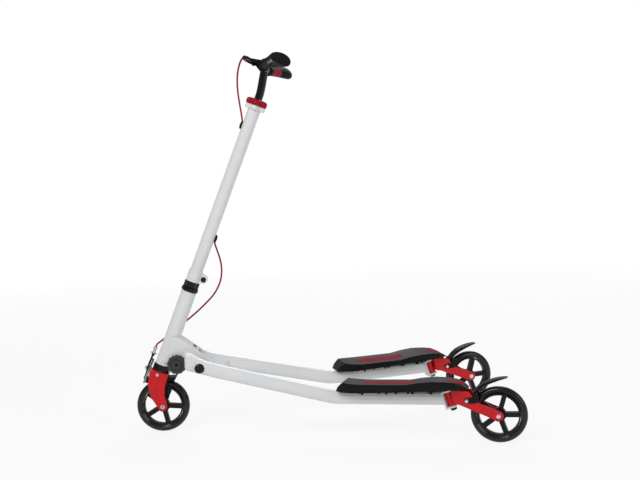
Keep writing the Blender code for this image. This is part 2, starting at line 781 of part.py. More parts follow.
def arm_form(side, name, grow=0.0):
    """The arm's outer form, flattened at its nose; grow adds room around it."""
    def mirrored(point):
        return Vector((FRONT_X + point.x, side * point.y, point.z))

    sections = []
    for back, up, half_height, half_width in ARM_NOSE:
        centre = Vector((back, ARM_START.y + NOSE_HEADING * (back - ARM_START.x), up))
        sections.append(oval(mirrored(centre), (0, 1, 0), (0, 0, 1), half_width + grow,
                             half_height + grow))
    path = arm_path()
    for i, centre in enumerate(path):
        before, after = path[max(i - 1, 0)], path[min(i + 1, len(path) - 1)]
        along = (mirrored(after) - mirrored(before)).normalized()
        across = Vector((0, 0, 1)).cross(along).normalized()
        up = along.cross(across)
        if i == len(path) - 1:
            level = Vector((along.x, along.y, 0.0)).normalized()
            up = Vector((0, 0, 1)) * math.cos(KINGPIN_LEAN) - level * math.sin(KINGPIN_LEAN)
        sections.append(oval(mirrored(centre), across, up, ARM_WIDTH / 2 + grow,
                             ARM_HEIGHT / 2 + grow))
    return loft(name, sections, WHITE)


def make_arm(side, name):
    arm = arm_form(side, name)
    bore = rod(name + "_bore", PIVOT_BOLT_RADIUS + FIT, -0.12, 0.12, WHITE, 20,
               location=PIVOT, rotation=SIDE_ON)
    cut(arm, bore)
    pocket = rod(name + "_cap_seat", PIVOT_CAP_RADIUS + 0.001, 0.0, 0.04, WHITE, 28,
                 location=(PIVOT.x, side * ARM_FACE, PIVOT.z),
                 rotation=(side * -math.pi / 2, 0.0, 0.0))
    cut(arm, pocket)
    inside = rod(name + "_bush_seat", BUSH_RADIUS + 0.001, 0.0, 0.02, WHITE, 28,
                 location=(PIVOT.x, side * BUSH_END, PIVOT.z),
                 rotation=(side * math.pi / 2, 0.0, 0.0))
    cut(arm, inside)


def make_pivot():
    bore = PIVOT_BOLT_RADIUS + FIT
    nose, end = NOSE_OUTER + FIT, BUSH_END - FIT
    profile = [(BUSH_RADIUS, end), (BUSH_RADIUS, nose), (BUSH_TUBE_RADIUS, nose),
               (BUSH_TUBE_RADIUS, -nose), (BUSH_RADIUS, -nose), (BUSH_RADIUS, -end),
               (bore, -end), (bore, end)]
    turned("pivot_bush", profile, BLACK, 16, parent=fold_root, rotation=SIDE_ON)
    seat = ARM_FACE + FIT
    shank = rod("pivot_bolt", PIVOT_BOLT_RADIUS, -seat - 0.001, seat + 0.001, BLACK, 20,
                parent=fold_root, rotation=SIDE_ON)
    dome = [(0.0, 0.0075)]
    dome += [(0.0060 + 0.0070 * math.sin(a), 0.0035 + 0.0040 * math.cos(a))
             for a in (math.radians(d) for d in (20, 55, 90))]
    for side in (-1, 1):
        cap = turned("cap", dome + [(PIVOT_CAP_RADIUS, 0.0), (0.0, 0.0)], BLACK, 20,
                     closed=False, parent=fold_root, location=(0, -side * seat, 0),
                     rotation=(side * math.pi / 2, 0.0, 0.0))
        join(shank, cap)


def make_yoke():
    """The cross tube between the arms, with the tongue that the lock bolt hooks over."""
    seat = arc(from_pivot(LOCK_BACK, LOCK_UP), LOCK_BOLT_RADIUS + RUNNING_FIT, 180, 360, 8)
    hook = [from_pivot(LOCK_BACK - LOCK_LIP, LOCK_UP - 0.0105),
            from_pivot(LOCK_BACK - LOCK_LIP, LOCK_UP)]
    saddle = [from_pivot(LOCK_BACK + LOCK_LIP, LOCK_UP),
              from_pivot(LOCK_BACK + 0.014, LOCK_UP + 0.006), (-0.020, 0.012), (0.0, 0.0135),
              (0.016, 0.009)]
    around = arc(from_pivot(CROSS_TUBE_BACK, CROSS_TUBE_UP), CROSS_TUBE_RADIUS + 0.003, 80, -110,
                 8)
    belly = [(0.0, -0.0115), from_pivot(LOCK_BACK + 0.012, LOCK_UP - 0.0150)]
    outline = hook + seat + saddle + around + belly
    yoke = extrusion("frame_yoke", outline, 2 * TONGUE_HALF, WHITE,
                     [circle(BUSH_TUBE_RADIUS + FIT, steps=20)], parent=fold_root,
                     rotation=SIDE_ON)
    half = ARM_START.y + NOSE_HEADING * (CROSS_TUBE_BACK - ARM_START.x)
    across = rod("cross_tube", CROSS_TUBE_RADIUS, -half, half, WHITE, 24, parent=fold_root,
                 location=(CROSS_TUBE_BACK - PIVOT_BACK, 0.0, CROSS_TUBE_UP - PIVOT_UP),
                 rotation=SIDE_ON)
    join(yoke, across)
    for side in (-1, 1):
        cut(yoke, arm_form(side, "arm_room", FIT))


make_arm(-1, "arm_left")
make_arm(1, "arm_right")
make_pivot()
make_yoke()


# Column, clamp and collar

def lobed(radius, depth, lobes, phase, steps=5):
    """A round outline with rounded lobes; depth is how far it draws in between them."""
    points = []
    for i in range(lobes * steps):
        angle = 2 * math.pi * i / (lobes * steps)
        wave = 0.5 + 0.5 * math.cos(lobes * (angle - phase))
        reach = radius - depth * (1 - wave ** 0.8)
        points.append((reach * math.cos(angle), reach * math.sin(angle)))
    return points


CABLE_IN = COLUMN_TOP - 0.058
CABLE_OUT = 0.482
CABLE_SLOT = 0.021
CABLE_SLOT_WIDTH = 0.0072
CLAMP_BOLT_RADIUS = 0.003


def make_column():
    foot, top = COLUMN_BOTTOM, COLUMN_TOP
    profile = [(COLUMN_RADIUS, top), (COLUMN_RADIUS, foot + CLAMP_HEIGHT + 0.002),
               (CLAMP_RADIUS, foot + CLAMP_HEIGHT), (CLAMP_RADIUS, foot), (COLUMN_BORE, foot),
               (COLUMN_BORE, top)]
    column = turned("column", profile, WHITE, 24, parent=steering_axis)
    bolt_at = (CLAMP_BOLT_BACK, CLAMP_BOLT_UP)
    ear_outline = [(COLUMN_BORE + 0.001, foot + 0.001)] + arc(bolt_at, 0.0108, -75, 95, 8) + [
        (COLUMN_RADIUS, foot + CLAMP_HEIGHT - 0.0005), (COLUMN_BORE + 0.001, foot + 0.025)]
    ear = extrusion("clamp_ear", ear_outline, CLAMP_EAR_WIDTH, WHITE, parent=steering_axis,
                    rotation=SIDE_ON)
    join(column, ear)
    slit = box("clamp_slit", (0.004, -CLAMP_SLIT / 2, foot - 0.002),
               (CLAMP_EAR_REACH + 0.01, CLAMP_SLIT / 2, foot + CLAMP_HEIGHT + 0.006), WHITE,
               parent=steering_axis)
    cut(column, slit)
    hole = rod("clamp_hole", CLAMP_BOLT_RADIUS + FIT, -0.03, 0.03, WHITE, 20,
               parent=steering_axis, location=(CLAMP_BOLT_BACK, 0.0, CLAMP_BOLT_UP),
               rotation=SIDE_ON)
    cut(column, hole)
    half_slot, half_width = CABLE_SLOT / 2, CABLE_SLOT_WIDTH / 2
    for up, side in ((CABLE_IN, -1), (CABLE_OUT, 1)):
        slot = box("cable_slot", (min(0, side * 0.03), -half_width, up - half_slot),
                   (max(0, side * 0.03), half_width, up + half_slot), WHITE,
                   parent=steering_axis)
        cut(column, slot)


def make_clamp_screw():
    """The screw across the clamp's ears, with its nut on the far side."""
    half = CLAMP_EAR_WIDTH / 2
    nut_height = 0.0035
    screw = bolt("clamp_screw", CLAMP_BOLT_RADIUS, CLAMP_EAR_WIDTH + nut_height, 0.0072, 0.0040,
                 STEEL, parent=steering_axis, location=(CLAMP_BOLT_BACK, -half - FIT, CLAMP_BOLT_UP),
                 rotation=SIDE_ON)
    join(screw, nut("nut", 0.0066, nut_height, STEEL,
                    parent=steering_axis,
                    location=(CLAMP_BOLT_BACK, half + FIT + nut_height / 2, CLAMP_BOLT_UP),
                    rotation=SIDE_ON))


def make_collar():
    phase = -math.pi / 2
    base_bottom = COLUMN_TOP - COLLAR_BASE_HEIGHT + COLLAR_COVER
    base_top = base_bottom + COLLAR_BASE_HEIGHT
    base = extrusion("collar_base", lobed(COLLAR_RADIUS - 0.001, 0.0085, COLLAR_LOBES, phase),
                     COLLAR_BASE_HEIGHT, WHITE, [circle(STEM_RADIUS + FIT, steps=20)], 0.0018,
                     parent=steering_axis, location=(0, 0, (base_bottom + base_top) / 2))
    cut(base, rod("collar_socket", COLUMN_RADIUS + FIT, base_bottom - 0.01, COLUMN_TOP + FIT,
                  WHITE, 24, parent=steering_axis))
    collar_axis = empty("collar_axis", (0, 0, base_top + FIT), parent=steering_axis)
    extrusion("collar_nut", lobed(COLLAR_RADIUS, 0.0085, COLLAR_LOBES, phase),
              COLLAR_NUT_HEIGHT, RED_PLASTIC, [circle(STEM_RADIUS + FIT, steps=20)], 0.004,
              parent=collar_axis, location=(0, 0, COLLAR_NUT_HEIGHT / 2))


make_column()
make_clamp_screw()
make_collar()


# Handlebar, grips and lever

def bar_centre(out):
    """The bar's centre at a distance out from the middle, for either side."""
    share = min(max((abs(out) - 0.078) / (BAR_HALF_LENGTH - 0.078), 0.0), 1.0)
    ease = share * share * (3 - 2 * share) * 0.35 + share * 0.65
    return Vector((-BAR_SET_FORWARD + BAR_SWEEP_BACK * ease, out, BAR_HEIGHT + BAR_RISE * ease))


def bar_line(half, steps):
    return [bar_centre(-half + 2 * half * i / steps) for i in range(steps + 1)]


def make_handlebar():
    bar = tube("handlebar", bar_line(BAR_HALF_LENGTH, 20), BAR_RADIUS, BLACK_PAINT, 3,
               parent=stem_axis)
    knee = [(0, 0, STEM_BOTTOM), (0, 0, STEM_BEND_START - 0.004), (-0.0002, 0, STEM_BEND_START),
            (-0.0012, 0, STEM_BEND_START + 0.010), (-0.0030, 0, STEM_BEND_START + 0.022),
            (-BAR_SET_FORWARD, 0, BAR_HEIGHT)]
    stem = tube("stem_tube", knee, STEM_RADIUS, BLACK_PAINT, 3, parent=stem_axis)
    join(bar, stem)


def grip_ring(side, out, swell, flange):
    """A grip's section: round inside, with a palm wing that grows towards the end."""
    centre = bar_centre(side * out)
    points = []
    for i in range(18):
        angle = 2 * math.pi * i / 18
        c, s = math.cos(angle), math.sin(angle)
        reach = GRIP_ROUND_RADIUS + flange
        back = GRIP_WING_DEPTH * swell * max(c, 0.0) ** 1.6
        lift = 0.0015 * swell * s
        sag = -0.0020 * swell * max(c, 0.0)
        points.append(centre + Vector((reach * c + back, 0.0, reach * s + lift + sag)))
    return points


GRIP_STATIONS = [
    (0.000, 0.00, 0.0030),
    (0.004, 0.00, 0.0032),
    (0.006, 0.00, 0.0005),
    (0.030, 0.08, 0.0000),
    (0.055, 0.32, 0.0000),
    (0.078, 0.72, 0.0004),
    (0.098, 0.96, 0.0006),
    (0.109, 0.90, 0.0000),
    (0.113, 0.74, -0.0030),
]


def make_grip(side, name):
    scale = (GRIP_OUTER_END - GRIP_INNER_END) / GRIP_STATIONS[-1][0]
    sections = [grip_ring(side, GRIP_INNER_END + scale * along, swell, flange)
                for along, swell, flange in GRIP_STATIONS]
    grip = loft(name, sections, BLACK_RUBBER, parent=stem_axis)
    bore = tube(name + "_bore", bar_line(BAR_HALF_LENGTH + FIT, 20), BAR_RADIUS + FIT,
                BLACK_RUBBER, 3, parent=stem_axis)
    cut(grip, bore)


make_handlebar()
make_grip(-1, "grip_left")
make_grip(1, "grip_right")

LEVER_EYE_RADIUS = 0.0068
HOOD_THICKNESS = 0.0034
LEVER_TOP = BAR_HEIGHT - 0.0030
LEVER_PIVOT = Vector((-BAR_SET_FORWARD - LEVER_PIN_REACH,
                      -PERCH_OUT - PERCH_WIDTH / 2 - LEVER_EYE_RADIUS - 2 * RUNNING_FIT, LEVER_TOP))
BARREL_TILT = math.radians(-75)
BARREL_AIM = Vector((math.sin(BARREL_TILT), 0.0, math.cos(BARREL_TILT)))
BARREL_FOOT = Vector((-BAR_SET_FORWARD - PERCH_REACH + 0.001, -PERCH_OUT, BAR_HEIGHT + 0.002))
BARREL_STOP = 0.004
lever_axis = empty("lever_axis", LEVER_PIVOT, parent=stem_axis)


def make_perch():
    """The lever's clamp on the bar, with a hood over the lever's eye and a cable barrel."""
    bar = (-BAR_SET_FORWARD, BAR_HEIGHT)
    front = -BAR_SET_FORWARD - PERCH_REACH
    outline = arc(bar, 0.0160, 118, -62, 8) + [
        (bar[0] - 0.006, bar[1] - 0.0170), (front + 0.012, bar[1] - 0.0030),
        (front, bar[1] - 0.0022), (front, bar[1] + 0.0058), (bar[0] - 0.010, bar[1] + 0.0112)]
    perch = extrusion("lever_perch", outline, PERCH_WIDTH, BLACK,
                      [circle(BAR_RADIUS + FIT, bar, 20)], parent=stem_axis,
                      location=(0, -PERCH_OUT, 0), rotation=SIDE_ON)
    hood_bottom = LEVER_TOP + FIT
    hood = box("perch_hood", (LEVER_PIVOT.x - 0.009, LEVER_PIVOT.y - 0.007, hood_bottom),
               (LEVER_PIVOT.x + 0.009, -PERCH_OUT, hood_bottom + HOOD_THICKNESS), BLACK, 0.0008,
               parent=stem_axis)
    join(perch, hood)
    barrel = rod("perch_barrel", 0.0042, 0.0, 0.0120, BLACK, 20, 0.0008, parent=stem_axis,
                 location=BARREL_FOOT, rotation=(0.0, BARREL_TILT, 0.0))
    join(perch, barrel)
    cable_hole = rod("perch_cable_hole", CABLE_RADIUS + FIT, BARREL_STOP, 0.02, BLACK, 16,
                     parent=stem_axis, location=BARREL_FOOT, rotation=(0.0, BARREL_TILT, 0.0))
    cut(perch, cable_hole)
    pin = bolt("lever_pin", LEVER_PIN_RADIUS, HOOD_THICKNESS + LEVER_THICKNESS + 0.0020, 0.0042,
               0.002, BLACK, parent=stem_axis,
               location=LEVER_PIVOT + Vector((0, 0, HOOD_THICKNESS)))
    join(perch, pin)


def make_lever():
    """A bent flat lever with a round eye on the pin and a ball at its free end."""
    route = [(0.0, 0.0), (-0.0090, -0.0090), (-0.0175, -0.0240), (-0.0215, -0.0480),
             (-0.0215, -0.0760), (-0.0190, -0.0980)]
    widths = [2 * LEVER_EYE_RADIUS, 0.0125, 0.0110, 0.0100, 0.0090, 0.0080]
    eye = arc((0.0, 0.0), LEVER_EYE_RADIUS, 112.5, -22.5, 6)
    middle = -LEVER_THICKNESS / 2
    lever = extrusion("brake_lever", ribbon(route, widths) + eye, LEVER_THICKNESS, BLACK,
                      [circle(LEVER_PIN_RADIUS + FIT, steps=16)], 0.0012, parent=lever_axis,
                      location=(0, 0, middle))
    profile = [(0.0056 * math.sin(a), 0.0056 * math.cos(a))
               for a in (math.radians(30 * k) for k in range(7))]
    profile[0], profile[-1] = (0.0, 0.0056), (0.0, -0.0056)
    ball = turned("lever_ball", profile, BLACK, 14, closed=False, parent=lever_axis,
                  location=(route[-1][0], route[-1][1] - 0.002, middle))
    join(lever, ball)


make_perch()
make_lever()


# Caliper on the fork crown: the arm of the left pad lies behind the arm of the right pad
CROWN_FRONT = -0.0238
CALIPER_REAR = CROWN_FRONT - CALIPER_STAND_OFF
CALIPER_LAYERS = {
    "left": CALIPER_REAR - CALIPER_ARM_THICKNESS / 2,
    "right": CALIPER_REAR - CALIPER_ARM_THICKNESS * 1.5 - FIT,
}
CALIPER_FRONT = CALIPER_LAYERS["right"] - CALIPER_ARM_THICKNESS / 2
PAD_UP = 0.0515
PAD_INNER = TYRE_WIDTH / 2 + PAD_CLEARANCE
ARM_FOOT_OUT = PAD_INNER + PAD_THICKNESS / 2 + 0.0035
ADJUSTER_OUT = 0.0235
ADJUSTER_UP = 0.1210
ADJUSTER_STEP = 0.0120
ANCHOR_UP = CALIPER_PIVOT + 0.0225
ANCHOR_RADIUS = 0.0032
WIRE_RADIUS = 0.0007
ACROSS_FORK = (math.pi / 2, 0.0, math.pi / 2)
FORWARD = (0.0, -math.pi / 2, 0.0)
caliper_axis = {
    name: empty("caliper_axis_" + name, (0.0, 0.0, CALIPER_PIVOT), parent=steering_axis)
    for name in ("left", "right")
}


def make_caliper_arm(name, side, upper, material):
    """A flat arm across the fork: pad foot, pivot eye and an upper end for the cable."""
    pad_drop = PAD_UP - CALIPER_PIVOT
    foot = [(side * ARM_FOOT_OUT, pad_drop - 0.006), (side * (ARM_FOOT_OUT + 0.0035), pad_drop + 0.008),
            (side * 0.0165, -0.008)]
    route = foot + [(0.0, 0.0)] + upper
    widths = [0.009, 0.010, 0.0115, 0.015] + [0.0105] * (len(upper) - 1) + [0.0085]
    arm = extrusion("caliper_arm_" + name, ribbon(route, widths), CALIPER_ARM_THICKNESS, material,
                    [circle(CALIPER_BOLT_RADIUS + FIT, steps=16)], 0.0008,
                    parent=caliper_axis[name], location=(CALIPER_LAYERS[name], 0.0, 0.0),
                    rotation=ACROSS_FORK)
    reach = CALIPER_LAYERS[name] + CALIPER_ARM_THICKNESS / 2 + FIT
    low = pad_drop - PAD_HEIGHT / 2
    near, far = sorted((side * PAD_INNER, side * (PAD_INNER + PAD_THICKNESS)))
    box("brake_pad_" + name, (reach, near, low), (-0.0030, far, low + PAD_HEIGHT), BLACK_RUBBER,
        0.0006, parent=caliper_axis[name])
    return arm


def make_caliper():
    lift = ADJUSTER_UP - CALIPER_PIVOT
    pull_arm = make_caliper_arm("left", -1, [(0.011, 0.007), (0.0185, 0.0145),
                                             (ADJUSTER_OUT, ANCHOR_UP - CALIPER_PIVOT)], GREY)
    anchor_back = CALIPER_LAYERS["left"] - CALIPER_ARM_THICKNESS / 2 + 0.001
    anchor = rod("cable_anchor", ANCHOR_RADIUS, 0.0, 0.0055, GREY, 20, 0.0006,
                 parent=caliper_axis["left"],
                 location=(anchor_back, ADJUSTER_OUT, ANCHOR_UP - CALIPER_PIVOT), rotation=FORWARD)
    join(pull_arm, anchor)
    stop_arm = make_caliper_arm("right", 1, [(-0.004, 0.010), (0.003, 0.019), (0.0145, lift - 0.0085),
                                             (ADJUSTER_OUT, lift - 0.005)], BLACK_PAINT)
    boss = rod("adjuster_boss", 0.0046, lift - 0.0060, lift, BLACK_PAINT, 20,
               parent=caliper_axis["right"], location=(CALIPER_LAYERS["right"], ADJUSTER_OUT, 0.0))
    join(stop_arm, boss)
    wire_hole = rod("wire_hole", 0.0014, lift - 0.012, lift + 0.01, BLACK_PAINT, 16,
                    parent=caliper_axis["right"],
                    location=(CALIPER_LAYERS["right"], ADJUSTER_OUT, 0.0))
    cut(stop_arm, wire_hole)
    pivot = bolt("caliper_bolt", CALIPER_BOLT_RADIUS, 0.060, 0.0056, 0.0055, STEEL,
                 parent=steering_axis, location=(CALIPER_FRONT - FIT, 0.0, CALIPER_PIVOT),
                 rotation=FORWARD)
    shoulder = rod("shoulder", 0.0050, FIT, CALIPER_STAND_OFF - FIT, STEEL, 20,
                   parent=steering_axis, location=(CROWN_FRONT, 0.0, CALIPER_PIVOT),
                   rotation=FORWARD)
    join(pivot, shoulder)
    wire_radius = 0.0009
    plane = CROWN_FRONT - CALIPER_STAND_OFF / 2
    top = CALIPER_PIVOT + 0.0050 + FIT + wire_radius
    wire = [(plane, -0.0150, 0.0640), (plane, -0.0110, 0.0740), (plane, -0.0064, 0.0840),
            (plane, 0.0, top), (plane, 0.0064, 0.0840), (plane, 0.0110, 0.0740),
            (plane, 0.0150, 0.0640)]
    tube("caliper_spring", smooth_route(wire, 4), wire_radius, STEEL, 1, parent=steering_axis)


make_caliper()


def make_adjuster():
    """The barrel that stops the cable's housing above the caliper, with a stepped bore."""
    bore = CABLE_RADIUS + FIT
    profile = [(0.0042, 0.0200), (0.0052, 0.0190), (0.0052, 0.0110), (0.0042, 0.0095),
               (0.0042, 0.0), (0.0014, 0.0), (0.0014, ADJUSTER_STEP), (bore, ADJUSTER_STEP),
               (bore, 0.0200)]
    turned("barrel_adjuster", profile, STEEL, 20, parent=caliper_axis["right"],
           location=(CALIPER_LAYERS["right"], ADJUSTER_OUT, ADJUSTER_UP - CALIPER_PIVOT + FIT))


make_adjuster()


# Brake cable, whole from the lever to the caliper
CABLE_FROM_BAR = [
    (-0.0700, -0.0620, 0.0025), (-0.0742, -0.0545, -0.0130), (-0.0728, -0.0420, -0.0370),
    (-0.0665, -0.0280, -0.0620), (-0.0560, -0.0150, -0.0880), (-0.0425, -0.0060, -0.1140),
    (-0.0285, -0.0010, -0.1390), (-0.0208, 0.0000, -0.1540), (-0.0168, 0.0000, -0.1660),
    (-0.0138, 0.0000, -0.1770), (-0.0135, 0.0000, -0.1950),
]
CABLE_ROUTE = [
    (-0.0134, 0.0000, 0.6060), (-0.0110, 0.0000, 0.5760),
    (-0.0020, 0.0000, 0.5450), (0.0070, 0.0000, 0.5200), (0.0112, 0.0000, 0.5050),
    (0.0136, 0.0000, 0.4930), (0.0172, 0.0000, 0.4810), (0.0228, 0.0000, 0.4680),
    (0.0355, 0.0000, 0.4520), (0.0520, 0.0020, 0.4300), (0.0650, 0.0060, 0.4030),
    (0.0705, 0.0120, 0.3720), (0.0665, 0.0200, 0.3370), (0.0540, 0.0280, 0.3040),
    (0.0380, 0.0350, 0.2700), (0.0190, 0.0385, 0.2360), (0.0000, 0.0380, 0.2050),
    (-0.0150, 0.0345, 0.1800), (-0.0275, 0.0290, 0.1600),
]


def make_cable():
    start = [BARREL_FOOT + BARREL_AIM * reach for reach in (BARREL_STOP + FIT, 0.0130)]
    layer = CALIPER_LAYERS["right"]
    seat = ADJUSTER_UP + FIT + ADJUSTER_STEP + FIT
    end = [(layer + 0.0012, ADJUSTER_OUT + 0.0012, seat + 0.0160), (layer, ADJUSTER_OUT, seat + 0.0085),
           (layer, ADJUSTER_OUT, seat)]
    start += [Vector((x, y, BAR_HEIGHT + z)) for x, y, z in CABLE_FROM_BAR]
    route = smooth_route(start + CABLE_ROUTE + end, 2)
    cable = tube("brake_cable", route, CABLE_RADIUS, RED_PLASTIC, 2, parent=steering_axis)
    wire = rod("wire", WIRE_RADIUS, ANCHOR_UP + ANCHOR_RADIUS + FIT, seat + 0.001, STEEL, 8,
               parent=steering_axis, location=(layer, ADJUSTER_OUT, 0.0))
    join(cable, wire)
    for name, up, side in (("grommet_upper", CABLE_IN, -1), ("grommet_lower", CABLE_OUT, 1)):
        x = side * (COLUMN_RADIUS + FIT + 0.0012)
        shell = [oval((x, 0.0, up + off), (1, 0, 0), (0, 1, 0), depth, half, 2.2, 12)
                 for off, depth, half in (
                     (-GROMMET_LENGTH / 2, 0.0012, 0.0036), (-GROMMET_LENGTH * 0.38, 0.0036, 0.0050),
                     (0.0, 0.0052, 0.0056), (GROMMET_LENGTH * 0.38, 0.0036, 0.0050),
                     (GROMMET_LENGTH / 2, 0.0012, 0.0036))]
        cap = loft(name, shell, BLACK_RUBBER, parent=steering_axis)
        cut(cap, rod("grommet_seat", COLUMN_RADIUS + FIT, 0.40, 0.86, BLACK_RUBBER, 36,
                     parent=steering_axis))
        cut(cap, tube("grommet_bore", route, CABLE_RADIUS + FIT, BLACK_RUBBER, 2,
                      parent=steering_axis))


make_cable()


# Rear casters

class Caster:
    """Axes of one caster, and the parts that hang on them."""

    def __init__(self, name, side):
        self.name = name
        self.side = side
        heading = side * ARM_HEADING
        level = Vector((math.cos(heading), math.sin(heading), 0.0))
        end = Vector((FRONT_X + ARM_END.x, side * ARM_END.y, ARM_END.z))
        reach = FIT + CLEVIS_THICKNESS + BARREL_ROOM + CASTER_BARREL_RADIUS
        kingpin = end + level * reach / math.cos(KINGPIN_LEAN)
        kingpin.z = KINGPIN_UP
        self.frame = empty("arm_end_frame_" + name, kingpin, (0.0, 0.0, heading))
        self.fixed = empty("kingpin_frame_" + name, (0, 0, 0), (0.0, -KINGPIN_LEAN, 0.0),
                           self.frame)
        self.swivel = empty("kingpin_axis_" + name, (0, 0, 0), (0.0, -KINGPIN_LEAN, 0.0),
                            self.frame)
        self.level = empty("caster_level_" + name, (0, 0, 0), (0.0, KINGPIN_LEAN, 0.0),
                           self.swivel)
        self.axle = empty("rear_axle_axis_" + name,
                          (CASTER_TRAIL, 0.0, WHEEL_RADIUS - KINGPIN_UP), parent=self.level)
        self.fender = empty("fender_axis_" + name,
                            (FENDER_PIVOT_BACK, 0.0, FENDER_PIVOT_UP - KINGPIN_UP),
                            parent=self.level)


def clevis_outline():
    """A C in side view: the end plate and its upper and lower flanges."""
    h, t = CLEVIS_HALF_HEIGHT, CLEVIS_THICKNESS
    back = -CASTER_BARREL_RADIUS - BARREL_ROOM - t
    return [(back, -h), (CLEVIS_REACH, -h), (CLEVIS_REACH, -h + t), (back + t, -h + t),
            (back + t, h - t), (CLEVIS_REACH, h - t), (CLEVIS_REACH, h), (back, h)]


def make_arm_end(caster):
    end = extrusion("arm_end_" + caster.name, clevis_outline(), CLEVIS_WIDTH, WHITE,
                    bevel=0.0008, parent=caster.fixed, rotation=SIDE_ON)
    hole = rod("kingpin_hole", KINGPIN_RADIUS + FIT, -0.04, 0.04, WHITE, 20,
               parent=caster.fixed)
    cut(end, hole)


def make_kingpin(caster):
    """The swivel's bolt, down through the arm's end, with its nut below."""
    top = CLEVIS_HALF_HEIGHT + FIT
    pin = bolt("kingpin_" + caster.name, KINGPIN_RADIUS, 2 * top + KINGPIN_NUT_HEIGHT + 0.001,
               KINGPIN_HEAD_RADIUS, 0.0035, BLACK, parent=caster.fixed, location=(0, 0, top))
    join(pin, nut("nut", KINGPIN_HEAD_RADIUS, KINGPIN_NUT_HEIGHT, BLACK,
                  parent=caster.fixed, location=(0, 0, -top - KINGPIN_NUT_HEIGHT / 2)))


def cheek_outline():
    """A caster cheek from the side: pivot lobe, arm and round axle boss."""
    up = KINGPIN_UP
    axle = (CASTER_TRAIL, WHEEL_RADIUS - up)
    top = [(0.0065, 0.1350 - up), (0.0420, 0.1345 - up), (0.0510, 0.1310 - up),
           (0.0570, 0.1235 - up), (0.0610, 0.1120 - up), (0.0730, 0.1060 - up)]
    boss = arc(axle, 0.0128, 62, -112, 7)
    bottom = [(0.0520, 0.0880 - up), (0.0260, 0.0985 - up), (0.0120, 0.1010 - up)]
    return top + boss + bottom


def make_caster_fork(caster):
    middle = CASTER_GAP / 2 + CHEEK_THICKNESS / 2
    holes = [circle(AXLE_RADIUS + FIT, (CASTER_TRAIL, WHEEL_RADIUS - KINGPIN_UP), 20)]
    fork = extrusion("caster_fork_" + caster.name, cheek_outline(), CHEEK_THICKNESS, RED, holes,
                     parent=caster.level, location=(0, -middle, 0), rotation=SIDE_ON)
    other = extrusion("caster_far_cheek", cheek_outline(), CHEEK_THICKNESS, RED, holes,
                      parent=caster.level, location=(0, middle, 0), rotation=SIDE_ON)
    join(fork, other)
    block = [(0.004, 0.1335 - KINGPIN_UP), (0.030, 0.1330 - KINGPIN_UP),
             (0.034, 0.1250 - KINGPIN_UP), (0.034, 0.1080 - KINGPIN_UP),
             (0.030, 0.0985 - KINGPIN_UP), (0.0085, 0.1030 - KINGPIN_UP)]
    bridge = extrusion("caster_bridge", block, CASTER_GAP + CHEEK_THICKNESS, RED,
                       parent=caster.level, rotation=SIDE_ON)
    join(fork, bridge)
    half = CLEVIS_HALF_HEIGHT - CLEVIS_THICKNESS - RUNNING_FIT
    for sign in (-1, 1):
        low, high = sorted((sign * half, sign * 0.05))
        swing = rod("flange_swing", 0.0200, low, high, RED, 24, parent=caster.swivel)
        cut(fork, swing)
    barrel_half = half - FIT
    barrel = rod("caster_barrel", CASTER_BARREL_RADIUS, -barrel_half, barrel_half, RED, 22,
                 parent=caster.swivel)
    join(fork, barrel)
    bore = rod("kingpin_bore", KINGPIN_RADIUS + RUNNING_FIT, -0.05, 0.05, RED, 16,
               parent=caster.swivel)
    cut(fork, bore)
    under_head = CASTER_GAP / 2 + CHEEK_THICKNESS + 2 * FIT + EAR_THICKNESS
    shank = EAR_THICKNESS + CHEEK_THICKNESS
    profile = [(0.0, FENDER_HEAD_HEIGHT), (FENDER_HEAD_RADIUS, FENDER_HEAD_HEIGHT),
               (FENDER_HEAD_RADIUS, 0.0), (FENDER_BOLT_RADIUS, 0.0), (FENDER_BOLT_RADIUS, -shank),
               (0.0, -shank)]
    for side in (-1, 1):
        stud = turned("fender_stud", profile, RED, 15, closed=False, parent=caster.level,
                      location=(FENDER_PIVOT_BACK, side * under_head, FENDER_PIVOT_UP - KINGPIN_UP),
                      rotation=(-side * math.pi / 2, 0.0, 0.0))
        join(fork, stud)


def fender_point(back, up):
    return (back - FENDER_PIVOT_BACK, up - FENDER_PIVOT_UP)


